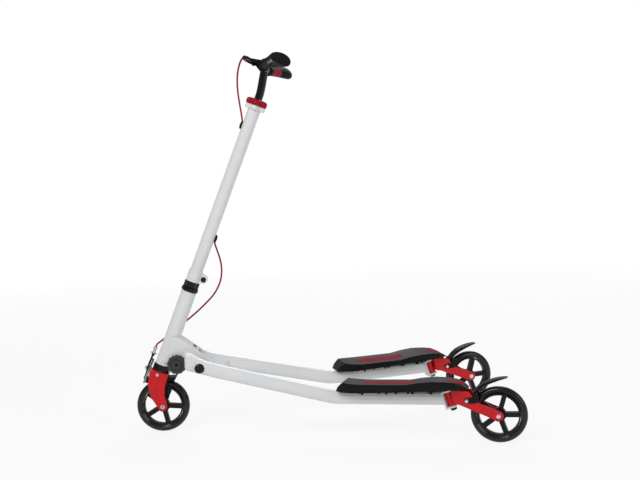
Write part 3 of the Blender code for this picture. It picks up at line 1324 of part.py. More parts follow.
def make_fender(caster):
    """A foot brake: a curved shoe over the tyre with a hollow tail, hinged by two ears."""
    wheel_centre = fender_point(CASTER_TRAIL, WHEEL_RADIUS)
    shoe = arc(wheel_centre, WHEEL_RADIUS + SHOE_GAP, 114, 143, 5)
    crown = [fender_point(0.0567, 0.1220), fender_point(0.0650, 0.1360),
             fender_point(0.0771, 0.1486), fender_point(0.0890, 0.1560),
             fender_point(0.1020, 0.1619), fender_point(0.1150, 0.1660),
             fender_point(0.1269, 0.1687), fender_point(0.1400, 0.1695)]
    tip = arc(fender_point(0.1440, 0.1655), 0.0040, 60, -60, 5)
    under = [fender_point(0.1330, 0.1610), fender_point(0.1180, 0.1570),
             fender_point(0.1040, 0.1525)]
    root = [fender_point(0.0585, 0.1180)]
    outline = crown + tip + under + shoe + root
    fender = extrusion("rear_fender_" + caster.name, outline, FENDER_WIDTH, BLACK,
                       parent=caster.fender, rotation=SIDE_ON)
    channel = [fender_point(0.1340, 0.1655), fender_point(0.1160, 0.1628),
               fender_point(0.1030, 0.1587), fender_point(0.0940, 0.1545),
               fender_point(0.0940, 0.1400), fender_point(0.1340, 0.1500)]
    cut(fender, extrusion("fender_channel", channel, FENDER_WIDTH - 2 * FENDER_WALL, BLACK,
                          parent=caster.fender, rotation=SIDE_ON))
    cheek_face = CASTER_GAP / 2 + CHEEK_THICKNESS + FIT
    ear_middle = cheek_face + EAR_THICKNESS / 2
    ear = arc((0.0, 0.0), 0.0068, 90, 262, 9) + [fender_point(0.0640, 0.1045),
                                                  fender_point(0.0745, 0.1085),
                                                  fender_point(0.0760, 0.1215),
                                                  fender_point(0.0660, 0.1300),
                                                  fender_point(0.0600, 0.1190)]
    for sign in (-1, 1):
        lug = extrusion("fender_ear", ear, EAR_THICKNESS, BLACK,
                        [circle(FENDER_BOLT_RADIUS + FIT, steps=16)], 0.0005,
                        parent=caster.fender, location=(0, sign * ear_middle, 0),
                        rotation=SIDE_ON)
        join(fender, lug)
    web = [fender_point(0.0640, 0.1150), fender_point(0.0745, 0.1110),
           fender_point(0.0750, 0.1205), fender_point(0.0670, 0.1290),
           fender_point(0.0620, 0.1215)]
    bridge = extrusion("fender_bridge", web, 2 * (cheek_face + EAR_THICKNESS) - 0.001, BLACK,
                       parent=caster.fender, rotation=SIDE_ON)
    room = TYRE_WIDTH / 2 + 0.0016
    tyre_room = rod("tyre_room", WHEEL_RADIUS + SHOE_GAP, -room, room, BLACK, 32,
                    parent=caster.axle, rotation=SIDE_ON)
    join(fender, bridge)
    cut(fender, tyre_room)


def make_caster(caster):
    make_arm_end(caster)
    make_caster_fork(caster)
    wheel("rear_left" if caster.side < 0 else "rear_right", caster.axle, math.radians(-2))
    make_axle("rear_axle_" + caster.name, CASTER_GAP / 2 + CHEEK_THICKNESS, CASTER_GAP,
              caster.axle)
    make_kingpin(caster)
    make_fender(caster)


CASTERS = [Caster("left", -1), Caster("right", 1)]
for one in CASTERS:
    make_caster(one)


# Decks, in the arm's own direction

DECK_PLAN = [(0.012, DECK_NOSE_WIDTH), (0.045, DECK_WIDTH * 0.90), (0.075, DECK_WIDTH),
             (0.285, DECK_WIDTH), (0.325, DECK_WIDTH * 0.80), (0.350, DECK_WIDTH * 0.46),
             (0.356, DECK_TAIL_WIDTH)]
DECK_RIM = [(0.012, 0.1290), (0.018, 0.1400), (0.033, 0.1520), (0.060, 0.1505), (0.085, 0.1500),
            (0.205, 0.1525), (0.245, 0.1615), (0.290, 0.1625), (0.325, 0.1590), (0.340, 0.1545),
            (0.350, 0.1475), (0.356, 0.1400)]
DECK_SKIRT = [(0.012, 0.1268), (0.040, 0.1262), (0.290, 0.1390), (0.340, 0.1415),
              (0.356, 0.1385)]
DECK_STATIONS = [0.012, 0.018, 0.033, 0.050, 0.080, 0.135, 0.200, 0.230, 0.265, 0.300, 0.325,
                 0.345, 0.356]
DECK_PADS = [(0.082, 0.218), (0.300, 0.343)]
DECK_RIBS = (0.073, 0.125, 0.170, 0.213, 0.262)
DECK_RIB_HALF = 0.023


def deck_half(along):
    return blend(DECK_PLAN, along) / 2


def deck_top(along, outward):
    """Height of the standing surface, dished a little towards the middle of the scooter."""
    half = deck_half(along)
    slant = DECK_DISH * (outward / (DECK_WIDTH / 2) - 1.0) / 2
    front_fade = min(max((along - 0.018) / 0.04, 0.0), 1.0)
    crown = 0.0014 * (1 - (outward / half) ** 2)
    return blend(DECK_RIM, along) + slant * front_fade - crown * front_fade


def deck_section(along, inset, top_shift, bottom):
    half = deck_half(along) - inset
    shares = (1.0, 0.93, 0.6, 0.2, -0.2, -0.6, -0.93, -1.0)
    points = [(along, half * 1.02, bottom)]
    for share in shares:
        edge = 0.0035 if abs(share) == 1.0 else 0.0
        height = max(deck_top(along, half * share) + top_shift - edge, bottom + 0.0006)
        points.append((along, half * share, height))
    points.append((along, -half * 1.02, bottom))
    return points


def deck_frame(side, name):
    heading = side * ARM_HEADING
    start = Vector((FRONT_X + ARM_BEND.x, side * ARM_BEND.y, 0.0))
    return empty("deck_frame_" + name, start, (0.0, 0.0, heading))


def sided(side, sections):
    return [[Vector((x, side * y, z)) for x, y, z in section] for section in sections]


def make_deck(side, name):
    frame = deck_frame(side, name)
    shell = sided(side, [deck_section(s, 0.0, 0.0, blend(DECK_SKIRT, s)) for s in DECK_STATIONS])
    deck = loft("deck_" + name, shell, BLACK, parent=frame)
    inner_stations = [0.026] + DECK_STATIONS[3:-3] + [0.340]
    room = sided(side, [deck_section(s, DECK_WALL, -DECK_WALL, 0.115) for s in inner_stations])
    cut(deck, loft("deck_room", room, BLACK, parent=frame))
    for along in DECK_RIBS:
        foot = arm_centre_up(along) + ARM_HEIGHT / 2 - 0.0050
        crest = [(side * out, deck_top(along, out) - DECK_WALL / 2)
                 for out in (DECK_RIB_HALF, 0.0, -DECK_RIB_HALF)]
        outline = [(-side * DECK_RIB_HALF, foot), (side * DECK_RIB_HALF, foot)] + crest
        rib = extrusion("deck_rib", outline, DECK_RIB_THICKNESS, BLACK, parent=frame,
                        location=(along, 0.0, 0.0), rotation=ACROSS_FORK)
        join(deck, rib)
    path = [p for p in arm_path() if p.x > 0.40]
    seat = []
    for i, centre in enumerate(path):
        before, after = path[max(i - 1, 0)], path[min(i + 1, len(path) - 1)]
        along = (after - before).normalized()
        across = Vector((0, 0, 1)).cross(along).normalized()
        up = along.cross(across)
        here = centre - Vector((ARM_BEND.x, ARM_BEND.y, 0.0))
        turned_back = Matrix.Rotation(-ARM_HEADING, 3, "Z")
        points = oval(turned_back @ here, turned_back @ across, turned_back @ up,
                      ARM_WIDTH / 2 + FIT, ARM_HEIGHT / 2 + FIT)
        seat.append([(p.x, side * p.y, p.z) for p in points])
    cut(deck, loft("arm_seat", seat, BLACK, parent=frame))
    for first, last in DECK_PADS:
        pocket = pad_solid("pad_pocket", side, first - FIT, last + FIT, FIT,
                           -DECK_PAD_THICKNESS + 0.0004 - FIT, 0.004)
        pocket.parent = frame
        cut(deck, pocket)
    return frame


def pad_solid(name, side, first, last, grow, low, high):
    """A slab that follows the deck's top between two heights measured from it."""
    steps = 8
    half_pad = DECK_PAD_WIDTH / 2 + grow
    sections = []
    for i in range(steps + 1):
        along = first + (last - first) * i / steps
        half = min(half_pad, deck_half(along) - 0.006 + grow)
        shares = (1.0, 0.33, -0.33, -1.0)
        top = [(along, half * u, deck_top(along, half * u) + high) for u in shares]
        bottom = [(along, half * u, deck_top(along, half * u) + low) for u in reversed(shares)]
        sections.append(top + bottom)
    return loft(name, sided(side, sections), RED_RUBBER)


for side, name in ((-1, "left"), (1, "right")):
    frame = make_deck(side, name)
    for kind, (first, last) in zip(("deck_pad_", "heel_pad_"), DECK_PADS):
        pad = pad_solid(kind + name, side, first, last, 0.0, -DECK_PAD_THICKNESS + 0.0004, 0.0004)
        pad.parent = frame
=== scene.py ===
"""Finishes, fittings and studio of the wiggle scooter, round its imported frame.

Metres, +Z up. The scooter faces -X and its left side is -Y, toward the camera. Places on the
steered front end are given behind, beside and up its leaning axis, as on_column takes them.
"""

import json
import math

import bmesh
import bpy
from mathutils import Matrix, Vector


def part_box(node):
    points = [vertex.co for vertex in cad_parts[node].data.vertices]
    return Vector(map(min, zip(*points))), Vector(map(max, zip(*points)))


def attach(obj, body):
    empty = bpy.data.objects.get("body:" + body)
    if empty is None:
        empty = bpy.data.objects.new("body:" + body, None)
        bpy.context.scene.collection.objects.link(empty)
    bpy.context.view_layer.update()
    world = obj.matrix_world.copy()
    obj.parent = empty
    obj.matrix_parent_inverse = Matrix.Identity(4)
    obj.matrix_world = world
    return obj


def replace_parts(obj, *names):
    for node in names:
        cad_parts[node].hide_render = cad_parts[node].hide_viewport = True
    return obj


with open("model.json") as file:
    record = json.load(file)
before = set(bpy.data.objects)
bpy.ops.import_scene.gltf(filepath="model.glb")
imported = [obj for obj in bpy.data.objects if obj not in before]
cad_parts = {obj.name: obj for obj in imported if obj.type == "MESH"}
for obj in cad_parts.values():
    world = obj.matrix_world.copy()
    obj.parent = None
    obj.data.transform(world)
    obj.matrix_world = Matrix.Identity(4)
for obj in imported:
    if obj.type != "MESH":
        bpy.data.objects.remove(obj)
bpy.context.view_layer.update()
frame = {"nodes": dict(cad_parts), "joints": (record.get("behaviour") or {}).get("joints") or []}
nodes = frame["nodes"]
joints = {joint["name"]: joint for joint in frame["joints"]}


# Places and sizes

WHEEL_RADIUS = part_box("front_tyre")[1].z / 2
TYRE_HALF_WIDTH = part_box("front_tyre")[1].y
HEAD_LEAN = math.radians(22.0)
UP_COLUMN = Vector((math.sin(HEAD_LEAN), 0.0, math.cos(HEAD_LEAN)))
BEHIND_COLUMN = Vector((math.cos(HEAD_LEAN), 0.0, -math.sin(HEAD_LEAN)))
ACROSS = Vector((0.0, 1.0, 0.0))
UP = Vector((0.0, 0.0, 1.0))
STEERING_FOOT = Vector((-0.479087, 0.0, 0.087484))
STEM_RADIUS = 0.011
CABLE_RADIUS = 0.0024
WIRE_RADIUS = 0.0007
GRIP_RED_FROM = 0.112
GRIP_RED_TO = 0.146
FLOOR_GLOW = 0.86
WORLD_LIGHT = 0.34
SHARP_EDGE = math.radians(38)
SIDES = {"left": -1, "right": 1}


def place_of(name):
    """The point that a joint turns about."""
    return Vector(joints[name]["pos_m"])


def axis_of(name):
    return Vector(joints[name]["axis"]).normalized()


def on_column(back, out, up):
    """A place given behind, beside and along the steering axis."""
    return STEERING_FOOT + BEHIND_COLUMN * back + ACROSS * out + UP_COLUMN * up


def side_frame(side_name, origin):
    """A rear arm's own frame at an origin: X back along the deck, Y along the wheel's axle."""
    axle = axis_of("rear_" + side_name + "_wheel_spin")
    turn = Matrix((axle.cross(UP), axle, UP)).transposed().to_4x4()
    return Matrix.Translation(origin) @ turn


# Shader values and finishes

class Value:
    """A shader socket that adds Math nodes when it stands in an expression."""

    def __init__(self, nodes, socket):
        self.nodes = nodes
        self.socket = socket

    def maths(self, operation, *terms):
        return self.nodes.node("ShaderNodeMath", {"operation": operation}, dict(enumerate(terms)))

    def others(self):
        """All outputs of the node that this value comes from, by name."""
        return {out.name: Value(self.nodes, out) for out in self.socket.node.outputs}

    def __add__(self, other):
        return self.maths("ADD", self, other)

    def __rsub__(self, other):
        return self.maths("SUBTRACT", other, self)

    def __mul__(self, other):
        return self.maths("MULTIPLY", self, other)

    def __truediv__(self, other):
        return self.maths("DIVIDE", self, other)

    def __gt__(self, other):
        return self.maths("GREATER_THAN", self, other)

    def __lt__(self, other):
        return self.maths("LESS_THAN", self, other)

    __radd__ = __add__
    __rmul__ = __mul__


class Nodes:
    """The nodes of a material or of the world."""

    def __init__(self, tree):
        self.tree = tree

    def feed(self, socket, value):
        if isinstance(value, Value):
            self.tree.links.new(value.socket, socket)
        elif isinstance(value, tuple) and socket.type == "RGBA":
            socket.default_value = (*value, 1.0)
        else:
            socket.default_value = value

    def node(self, kind, settings=None, sockets=None, output=0):
        made = self.tree.nodes.new(kind)
        for name, value in (settings or {}).items():
            setattr(made, name, value)
        for name, value in (sockets or {}).items():
            self.feed(made.inputs[name], value)
        return Value(self, made.outputs[output])


class Finish(Nodes):
    """One material, made of nodes round a Principled shader."""

    def __init__(self, name, colour, roughness, constants=()):
        self.material = bpy.data.materials.new(name)
        self.material.use_nodes = True
        super().__init__(self.material.node_tree)
        self.shader = self.tree.nodes["Principled BSDF"]
        self.set("Base Color", colour)
        self.set("Roughness", roughness)
        for socket, value in dict(constants).items():
            self.set(socket, value)
        self.place = self.node("ShaderNodeTexCoord", output="Object")

    def set(self, socket, value):
        self.feed(self.shader.inputs[socket], value)

    def noise(self, scale, detail=2.0, stretch=None):
        where = self.place
        if stretch:
            where = self.node("ShaderNodeMapping", None, {"Vector": self.place, "Scale": stretch})
        return self.node("ShaderNodeTexNoise", None,
                         {"Vector": where, "Scale": scale, "Detail": detail})

    def ramp(self, value, low, high):
        """A value spread out so that low becomes 0 and high becomes 1."""
        return self.node("ShaderNodeMapRange", {"clamp": True},
                         {"Value": value, "From Min": low, "From Max": high})

    def mix(self, share, first, second):
        """A colour between two, by the share of the second."""
        return self.node("ShaderNodeMix", {"data_type": "RGBA"},
                         {0: share, 6: first, 7: second}, output=2)

    def bump(self, height, depth, strength):
        self.set("Normal", self.node("ShaderNodeBump", None,
                                     {"Height": height, "Distance": depth, "Strength": strength}))

    def split(self, vector):
        """The X, Y and Z of a vector."""
        parts = self.node("ShaderNodeSeparateXYZ", None, {0: vector}).others()
        return parts["X"], parts["Y"], parts["Z"]


def pearl_paint():
    """White powder coat with a faint orange peel and a clear coat over it."""
    white = Finish("pearl_white_paint", (0.80, 0.815, 0.83), 0.34,
                   {"Coat Weight": 0.35, "Coat Roughness": 0.12})
    drift = white.ramp(white.noise(7.0), 0.3, 0.7)
    white.set("Base Color", white.mix(drift, (0.775, 0.79, 0.805), (0.825, 0.84, 0.85)))
    white.set("Roughness", 0.30 + drift * 0.08)
    white.bump(white.noise(900.0, 1.0), 0.00012, 0.35)
    return white


def red_paint():
    """Glossy red powder coat on steel."""
    red = Finish("red_paint", (0.64, 0.004, 0.012), 0.28,
                 {"Coat Weight": 0.16, "Coat Roughness": 0.06, "Specular IOR Level": 0.22})
    drift = red.ramp(red.noise(20.0), 0.3, 0.7)
    red.set("Base Color", red.mix(drift, (0.58, 0.003, 0.010), (0.70, 0.006, 0.014)))
    red.set("Roughness", 0.24 + drift * 0.08)
    red.bump(red.noise(800.0, 1.0), 0.00012, 0.3)
    return red


def red_plastic():
    """Moulded red plastic of the collar, the nose plug and the adjuster's cross bar."""
    red = Finish("red_plastic", (0.36, 0.003, 0.010), 0.36, {"Specular IOR Level": 0.20})
    grain = red.noise(1400.0, 2.0)
    red.set("Base Color", red.mix(red.ramp(red.noise(60.0), 0.3, 0.7), (0.32, 0.002, 0.008),
                                  (0.42, 0.004, 0.012)))
    red.set("Roughness", 0.28 + grain * 0.12)
    red.bump(grain, 0.0001, 0.4)
    return red


def cable_skin():
    """Dark red skin of the brake cable."""
    red = Finish("cable_skin", (0.32, 0.006, 0.026), 0.38, {"Specular IOR Level": 0.20})
    red.set("Roughness", 0.32 + red.noise(500.0) * 0.14)
    red.bump(red.noise(2500.0), 0.00005, 0.3)
    return red


def red_tread():
    """Soft red rubber with a fine anti-slip pebble and scuffed patches scattered at random."""
    red = Finish("red_tread_rubber", (0.30, 0.022, 0.034), 0.72, {"Specular IOR Level": 0.12})
    pebble = red.node("ShaderNodeTexVoronoi", None, {"Vector": red.place, "Scale": 420.0})
    drift = red.ramp(red.noise(45.0, 3.0), 0.3, 0.75)
    red.set("Base Color", red.mix(drift, (0.23, 0.006, 0.012), (0.33, 0.011, 0.020)))
    red.set("Roughness", 0.62 + drift * 0.18)
    red.bump(1 - pebble, 0.0005, 0.7)
    return red


def black_plastic(name, shade, sheen):
    """Black glass-filled plastic with a spark-eroded grain."""
    black = Finish(name, (shade, shade, shade), 0.38, {"Specular IOR Level": sheen})
    grain = black.noise(1600.0, 2.0)
    drift = black.ramp(black.noise(30.0, 3.0), 0.3, 0.7)
    black.set("Base Color", black.mix(drift, (shade * 0.8, shade * 0.8, shade * 0.85),
                                      (shade * 1.5, shade * 1.5, shade * 1.6)))
    black.set("Roughness", 0.28 + grain * 0.12 + drift * 0.06)
    black.bump(grain, 0.00014, 0.5)
    return black


def wheel_plastic():
    """Nylon wheel core, a little shinier, with a faint flow pattern."""
    black = Finish("wheel_core_nylon", (0.004, 0.004, 0.005), 0.30,
                   {"Specular IOR Level": 0.22})
    flow = black.noise(90.0, 3.0)
    black.set("Base Color", black.mix(black.ramp(flow, 0.3, 0.7), (0.003, 0.003, 0.004),
                                      (0.006, 0.006, 0.007)))
    black.set("Roughness", 0.28 + flow * 0.16)
    black.bump(black.noise(1800.0, 1.0), 0.00008, 0.35)
    return black


def gloss_black():
    """Black lacquer on the bar, the headset and the bolts; on the brake's far arm the same black is
    painted shade.
    """
    black = Finish("black_lacquer_and_arm_shade", (0.005, 0.005, 0.006), 0.24,
                   {"Coat Weight": 0.12, "Coat Roughness": 0.05, "Specular IOR Level": 0.18})
    drift = black.noise(25.0, 2.0)
    black.set("Base Color", black.mix(drift, (0.004, 0.004, 0.005), (0.008, 0.008, 0.010)))
    black.set("Roughness", 0.18 + drift * 0.14)
    black.bump(black.noise(1000.0, 1.0), 0.00008, 0.25)
    return black


def grip_rubber():
    """Black rubber with fine cross ribs, and dark red rubber where the palm rest swells."""
    rubber = Finish("grip_rubber", (0.004, 0.004, 0.005), 0.66, {"Specular IOR Level": 0.14})
    y = rubber.split(rubber.place)[1]
    abs_y = rubber.node("ShaderNodeMath", {"operation": "ABSOLUTE"}, {0: y})
    facing = rubber.split(rubber.node("ShaderNodeTexCoord", output="Normal"))
    ribs = rubber.node("ShaderNodeTexWave", {"bands_direction": "Y"},
                       {"Vector": rubber.place, "Scale": 75.0}, output="Fac")
    inward = rubber.ramp(0 - facing[1] * y / abs_y, 0.10, 0.16)
    below = rubber.ramp(0 - facing[2], -0.55, -0.45)
    swell = (abs_y > GRIP_RED_FROM) * (abs_y < GRIP_RED_TO)
    under = inward * below * swell
    drift = rubber.ramp(rubber.noise(70.0, 3.0), 0.3, 0.7)
    black = rubber.mix(drift, (0.003, 0.003, 0.004), (0.007, 0.007, 0.008))
    red = rubber.mix(drift, (0.30, 0.015, 0.045), (0.40, 0.025, 0.060))
    rubber.set("Base Color", rubber.mix(under, black, red))
    rubber.set("Roughness", 0.56 + drift * 0.16)
    rubber.bump(ribs * (1 - under) + rubber.noise(900.0) * 0.35, 0.0004, 0.6)
    return rubber


def black_rubber():
    """Matt rubber of the cable's grommets and the brake's pads; its dark colour in the bolts' sockets
    is painted shade.
    """
    rubber = Finish("matt_black_rubber_and_socket_shade", (0.010, 0.010, 0.011), 0.78,
                    {"Specular IOR Level": 0.25})
    grain = rubber.noise(1300.0, 2.0)
    rubber.set("Base Color", rubber.mix(rubber.noise(60.0), (0.007, 0.007, 0.008),
                                        (0.014, 0.014, 0.015)))
    rubber.set("Roughness", 0.68 + grain * 0.18)
    rubber.bump(grain, 0.00015, 0.6)
    return rubber


def tyre_urethane():
    """Cast black polyurethane, shiny on its shoulders, with faint scuffs scattered at random."""
    tyre = Finish("tyre_urethane", (0.005, 0.005, 0.006), 0.20,
                  {"Coat Weight": 0.15, "Coat Roughness": 0.08, "Specular IOR Level": 0.30})
    drift = tyre.ramp(tyre.noise(120.0, 4.0), 0.35, 0.7)
    tyre.set("Base Color", tyre.mix(drift, (0.004, 0.004, 0.005), (0.008, 0.008, 0.009)))
    tyre.set("Roughness", 0.16 + drift * 0.14)
    tyre.bump(tyre.noise(700.0, 2.0), 0.00008, 0.3)
    return tyre


def plated_steel():
    """Zinc plate with a fine turned lay."""
    steel = Finish("plated_steel", (0.66, 0.66, 0.67), 0.30, {"Metallic": 1.0})
    lay = steel.noise(260.0, 3.0, (1.0, 9.0, 1.0))
    steel.set("Base Color", steel.mix(lay, (0.56, 0.56, 0.57), (0.74, 0.74, 0.75)))
    steel.set("Roughness", 0.22 + lay * 0.18)
    steel.bump(lay, 0.00006, 0.4)
    return steel


def cast_metal():
    """Grey die-cast metal of the brake's near arm, with a sandy skin."""
    metal = Finish("grey_casting", (0.30, 0.31, 0.32), 0.46, {"Metallic": 0.7})
    skin = metal.noise(700.0, 3.0)
    metal.set("Base Color", metal.mix(skin, (0.24, 0.25, 0.26), (0.38, 0.39, 0.40)))
    metal.set("Roughness", 0.38 + skin * 0.2)
    metal.bump(skin, 0.0002, 0.5)
    return metal


def silver_casting():
    """Pale casting at the arms' ends, rougher than the tubes."""
    metal = Finish("silver_casting", (0.72, 0.73, 0.745), 0.42, {"Metallic": 0.15})
    skin = metal.noise(500.0, 3.0)
    metal.set("Base Color", metal.mix(skin, (0.66, 0.67, 0.685), (0.78, 0.79, 0.80)))
    metal.set("Roughness", 0.34 + skin * 0.18)
    metal.bump(skin, 0.0002, 0.4)
    return metal


WHITE = pearl_paint()
RED = red_paint()
RED_PLASTIC = red_plastic()
CABLE = cable_skin()
TREAD = red_tread()
PLASTIC = black_plastic("grained_black_plastic", 0.0035, 0.16)
SATIN = black_plastic("satin_black_plastic", 0.032, 0.35)
CORE = wheel_plastic()
LACQUER_AND_ARM_SHADE = gloss_black()
GRIP = grip_rubber()
RUBBER_AND_SOCKET_SHADE = black_rubber()
TYRE = tyre_urethane()
STEEL = plated_steel()
CAST = cast_metal()
SILVER = silver_casting()

DRESS = {
    WHITE: ("head_tube", "nose_bracket", "column", "collar_base", "arm_left", "arm_right",
            "frame_yoke"),
    SILVER: ("arm_end_left", "arm_end_right"),
    RED: ("fork", "caster_fork_left", "caster_fork_right"),
    RED_PLASTIC: ("collar_nut", "nose_plug"),
    CABLE: ("brake_cable",),
    TREAD: ("deck_pad_left", "deck_pad_right", "heel_pad_left", "heel_pad_right"),
    PLASTIC: ("deck_left", "deck_right", "front_fender", "rear_fender_left",
              "rear_fender_right", "lever_perch", "brake_lever", "pivot_bush"),
    SATIN: ("lock_knob",),
    CORE: ("front_wheel_core", "rear_left_wheel_core", "rear_right_wheel_core"),
    # The brake's far arm, caliper_arm_right, takes this black as painted shade.
    LACQUER_AND_ARM_SHADE: ("handlebar", "headset_nut", "lower_headset", "upper_headset", "kingpin_left",
              "kingpin_right", "pivot_bolt", "caliper_arm_right", "clamp_screw", "lock_bolt"),
    GRIP: ("grip_left", "grip_right"),
    RUBBER_AND_SOCKET_SHADE: ("grommet_lower", "grommet_upper", "brake_pad_left", "brake_pad_right"),
    TYRE: ("front_tyre", "rear_left_tyre", "rear_right_tyre"),
    STEEL: ("front_axle", "rear_axle_left", "rear_axle_right", "front_bearings",
            "rear_left_bearings", "rear_right_bearings", "caliper_bolt",
            "caliper_spring", "barrel_adjuster"),
    CAST: ("caliper_arm_left",),
}
for finish, names in DRESS.items():
    for name in names:
        nodes[name].data.materials.clear()
        nodes[name].data.materials.append(finish.material)


# Tools for the pieces

NOTCH_SHARPNESS = 1.5
DOME_EDGE = 0.45
DOME_STEPS = 32


def new_piece(name, mesh, finish, body, matrix=None):
    """A shown piece that rides on a body and takes the given finish."""
    mesh.materials.clear()
    mesh.materials.append(finish.material)
    piece = bpy.data.objects.new(name, mesh)
    bpy.context.scene.collection.objects.link(piece)
    if matrix is not None:
        mesh.transform(matrix)
    mesh.shade_smooth()
    mesh.set_sharp_from_angle(angle=SHARP_EDGE)
    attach(piece, body)
    return piece


def ring_angles(steps, start=0.0):
    """Evenly spaced angles round a circle; the start is a share of one step."""
    return [2 * math.pi * (i + start) / steps for i in range(steps)]


def finished_mesh(name, shape):
    """The mesh of a bmesh whose faces then all look outward."""
    bmesh.ops.recalc_face_normals(shape, faces=shape.faces)
    mesh = bpy.data.meshes.new(name)
    shape.to_mesh(mesh)
    shape.free()
    return mesh


def turned_mesh(name, profile, steps, lobes=0, depth=0.0, round_inside=0.0):
    """A closed profile of (radius, height) points turned about Z.

    Between the lobes the profile is drawn in, except where it lies inside round_inside.
    """
    shape = bmesh.new()
    rings = []
    for angle in ring_angles(steps):
        drawn = depth * (0.5 - 0.5 * math.cos(lobes * angle)) ** NOTCH_SHARPNESS
        ring = []
        for radius, height in profile:
            reach = radius * (1.0 - drawn) if radius > round_inside else radius
            ring.append(shape.verts.new((reach * math.cos(angle), reach * math.sin(angle), height)))
        rings.append(ring)
    for ring, following in zip(rings, rings[1:] + rings[:1]):
        for k in range(len(profile)):
            j = (k + 1) % len(profile)
            shape.faces.new((ring[k], following[k], following[j], ring[j]))
    return finished_mesh(name, shape)


def skin(name, rings):
    """A closed mesh through rings of points that all have the same count."""
    shape = bmesh.new()
    made = [[shape.verts.new(point) for point in ring] for ring in rings]
    for first, second in zip(made, made[1:]):
        for k in range(len(first)):
            j = (k + 1) % len(first)
            shape.faces.new((first[k], first[j], second[j], second[k]))
    shape.faces.new(reversed(made[0]))
    shape.faces.new(made[-1])
    return finished_mesh(name, shape)


def plate(name, outline, near, far):
    """A flat outline of (back, up) points with an even thickness across."""
    return skin(name, [[Vector((x, y, z)) for x, z in outline] for y in (near, far)])


def dome(name, radius, height):
    """A closed button head that stands on its own seat along Z."""
    edge = height * DOME_EDGE
    profile = [(radius, 0.0), (radius, edge)]
    for k in range(1, 5):
        angle = math.radians(18 * k)
        profile.append((radius * math.cos(angle), edge + (height - edge) * math.sin(angle)))
    return skin(name, [[(r * math.cos(t), r * math.sin(t), z) for t in ring_angles(DOME_STEPS)]
                       for r, z in profile])


def axis_matrix(place, axis, start=UP):
    """Carries a form made about Z to a place and an axis; start says where its X points."""
    z = Vector(axis).normalized()
    x = (start - z * start.dot(z)).normalized()
    y = z.cross(x)
    turn = Matrix((x, y, z)).transposed().to_4x4()
    return Matrix.Translation(place) @ turn


# Wheels: smooth tyres over the cores

WHEELS = {
    "front": ("front_wheel", "front_wheel_spin"),
    "rear_left": ("rear_left_wheel", "rear_left_wheel_spin"),
    "rear_right": ("rear_right_wheel", "rear_right_wheel_spin"),
}
TYRE_SEAT = 0.0551
TYRE_LIP = 0.0075
TYRE_SHOULDER = 0.0055
TYRE_ARC_STEPS = 16
TYRE_TURN_STEPS = 96


def tyre_profile():
    """Half-round running face, rounded shoulders and straight lips down to the core."""
    profile = []
    foot = TYRE_SEAT + TYRE_SHOULDER
    for i in range(TYRE_ARC_STEPS + 1):
        angle = math.pi * i / TYRE_ARC_STEPS
        across = TYRE_HALF_WIDTH * math.copysign(abs(math.cos(angle)) ** 0.85, math.cos(angle))
        rise = (WHEEL_RADIUS - foot) * math.sin(angle) ** 0.9
        profile.append((foot + rise, across))
    return profile + [(TYRE_SEAT, -TYRE_LIP), (TYRE_SEAT, TYRE_LIP)]


for name, (body, joint) in WHEELS.items():
    tyre = new_piece(name + "_running_tyre",
                     turned_mesh("tyre", tyre_profile(), TYRE_TURN_STEPS), TYRE, body,
                     axis_matrix(place_of(joint), axis_of(joint)))
    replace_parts(tyre, name + "_tyre")


# Height collar and lock knob

COLLAR_RADIUS = 0.030
COLLAR_HEIGHT = 0.017
COLLAR_CLEARANCE = 0.0004
COLLAR_LOBES = 5
COLLAR_NOTCH = 0.34
COLLAR_ROUND_INSIDE = 0.0170
COLLAR_STEPS = 120
KNOB_RADIUS = 0.0265
KNOB_BORE = 0.0043
KNOB_NECK_RADIUS = 0.0110
KNOB_NECK_DEPTH = 0.0025
KNOB_DEPTH = 0.0145
KNOB_LOBES = 14
KNOB_NOTCH = 0.060
KNOB_ROUND_INSIDE = 0.0225
KNOB_GROOVE_INNER = 0.0132
KNOB_GROOVE_OUTER = 0.0168
KNOB_GROOVE_DEPTH = 0.0022
KNOB_STEPS = 140


def collar_profile():
    """A flat foot, an upright rim and a rounded upper shoulder round the stem's bore."""
    high, rim, bore = COLLAR_HEIGHT, COLLAR_RADIUS, STEM_RADIUS + COLLAR_CLEARANCE
    return [(bore, 0.0), (rim - 0.0022, 0.0), (rim - 0.0006, 0.0010), (rim, 0.0030),
            (rim, high - 0.0070), (rim - 0.0010, high - 0.0040), (rim - 0.0035, high - 0.0015),
            (rim - 0.0075, high - 0.0003), (bore + 0.0040, high), (bore + 0.0015, high - 0.0004),
            (bore, high - 0.0016)]


def knob_profile():
    """Neck, fluted rim and a dished face with a ring groove, along the knob's own axis."""
    rim, neck, top = KNOB_RADIUS, KNOB_NECK_DEPTH, KNOB_NECK_DEPTH + KNOB_DEPTH
    inner, outer, low = KNOB_GROOVE_INNER, KNOB_GROOVE_OUTER, top - KNOB_GROOVE_DEPTH
    return [(KNOB_BORE, 0.0), (KNOB_NECK_RADIUS, 0.0), (KNOB_NECK_RADIUS, neck),
            (rim - 0.0030, neck), (rim - 0.0007, neck + 0.0012), (rim, neck + 0.0034),
            (rim, top - 0.0038), (rim - 0.0007, top - 0.0016), (rim - 0.0026, top - 0.0002),
            (rim - 0.0050, top), (outer, top - 0.0006), (outer - 0.0010, low),
            (inner + 0.0010, low), (inner, top - 0.0006), (KNOB_BORE + 0.0047, top),
            (KNOB_BORE + 0.0015, top - 0.0002), (KNOB_BORE, top - 0.0012)]


collar = new_piece("lobed_collar",
                   turned_mesh("collar", collar_profile(), COLLAR_STEPS, COLLAR_LOBES,
                               COLLAR_NOTCH, COLLAR_ROUND_INSIDE),
                   RED_PLASTIC, "collar",
                   axis_matrix(place_of("collar_turn"), UP_COLUMN, -ACROSS))
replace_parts(collar, "collar_nut")

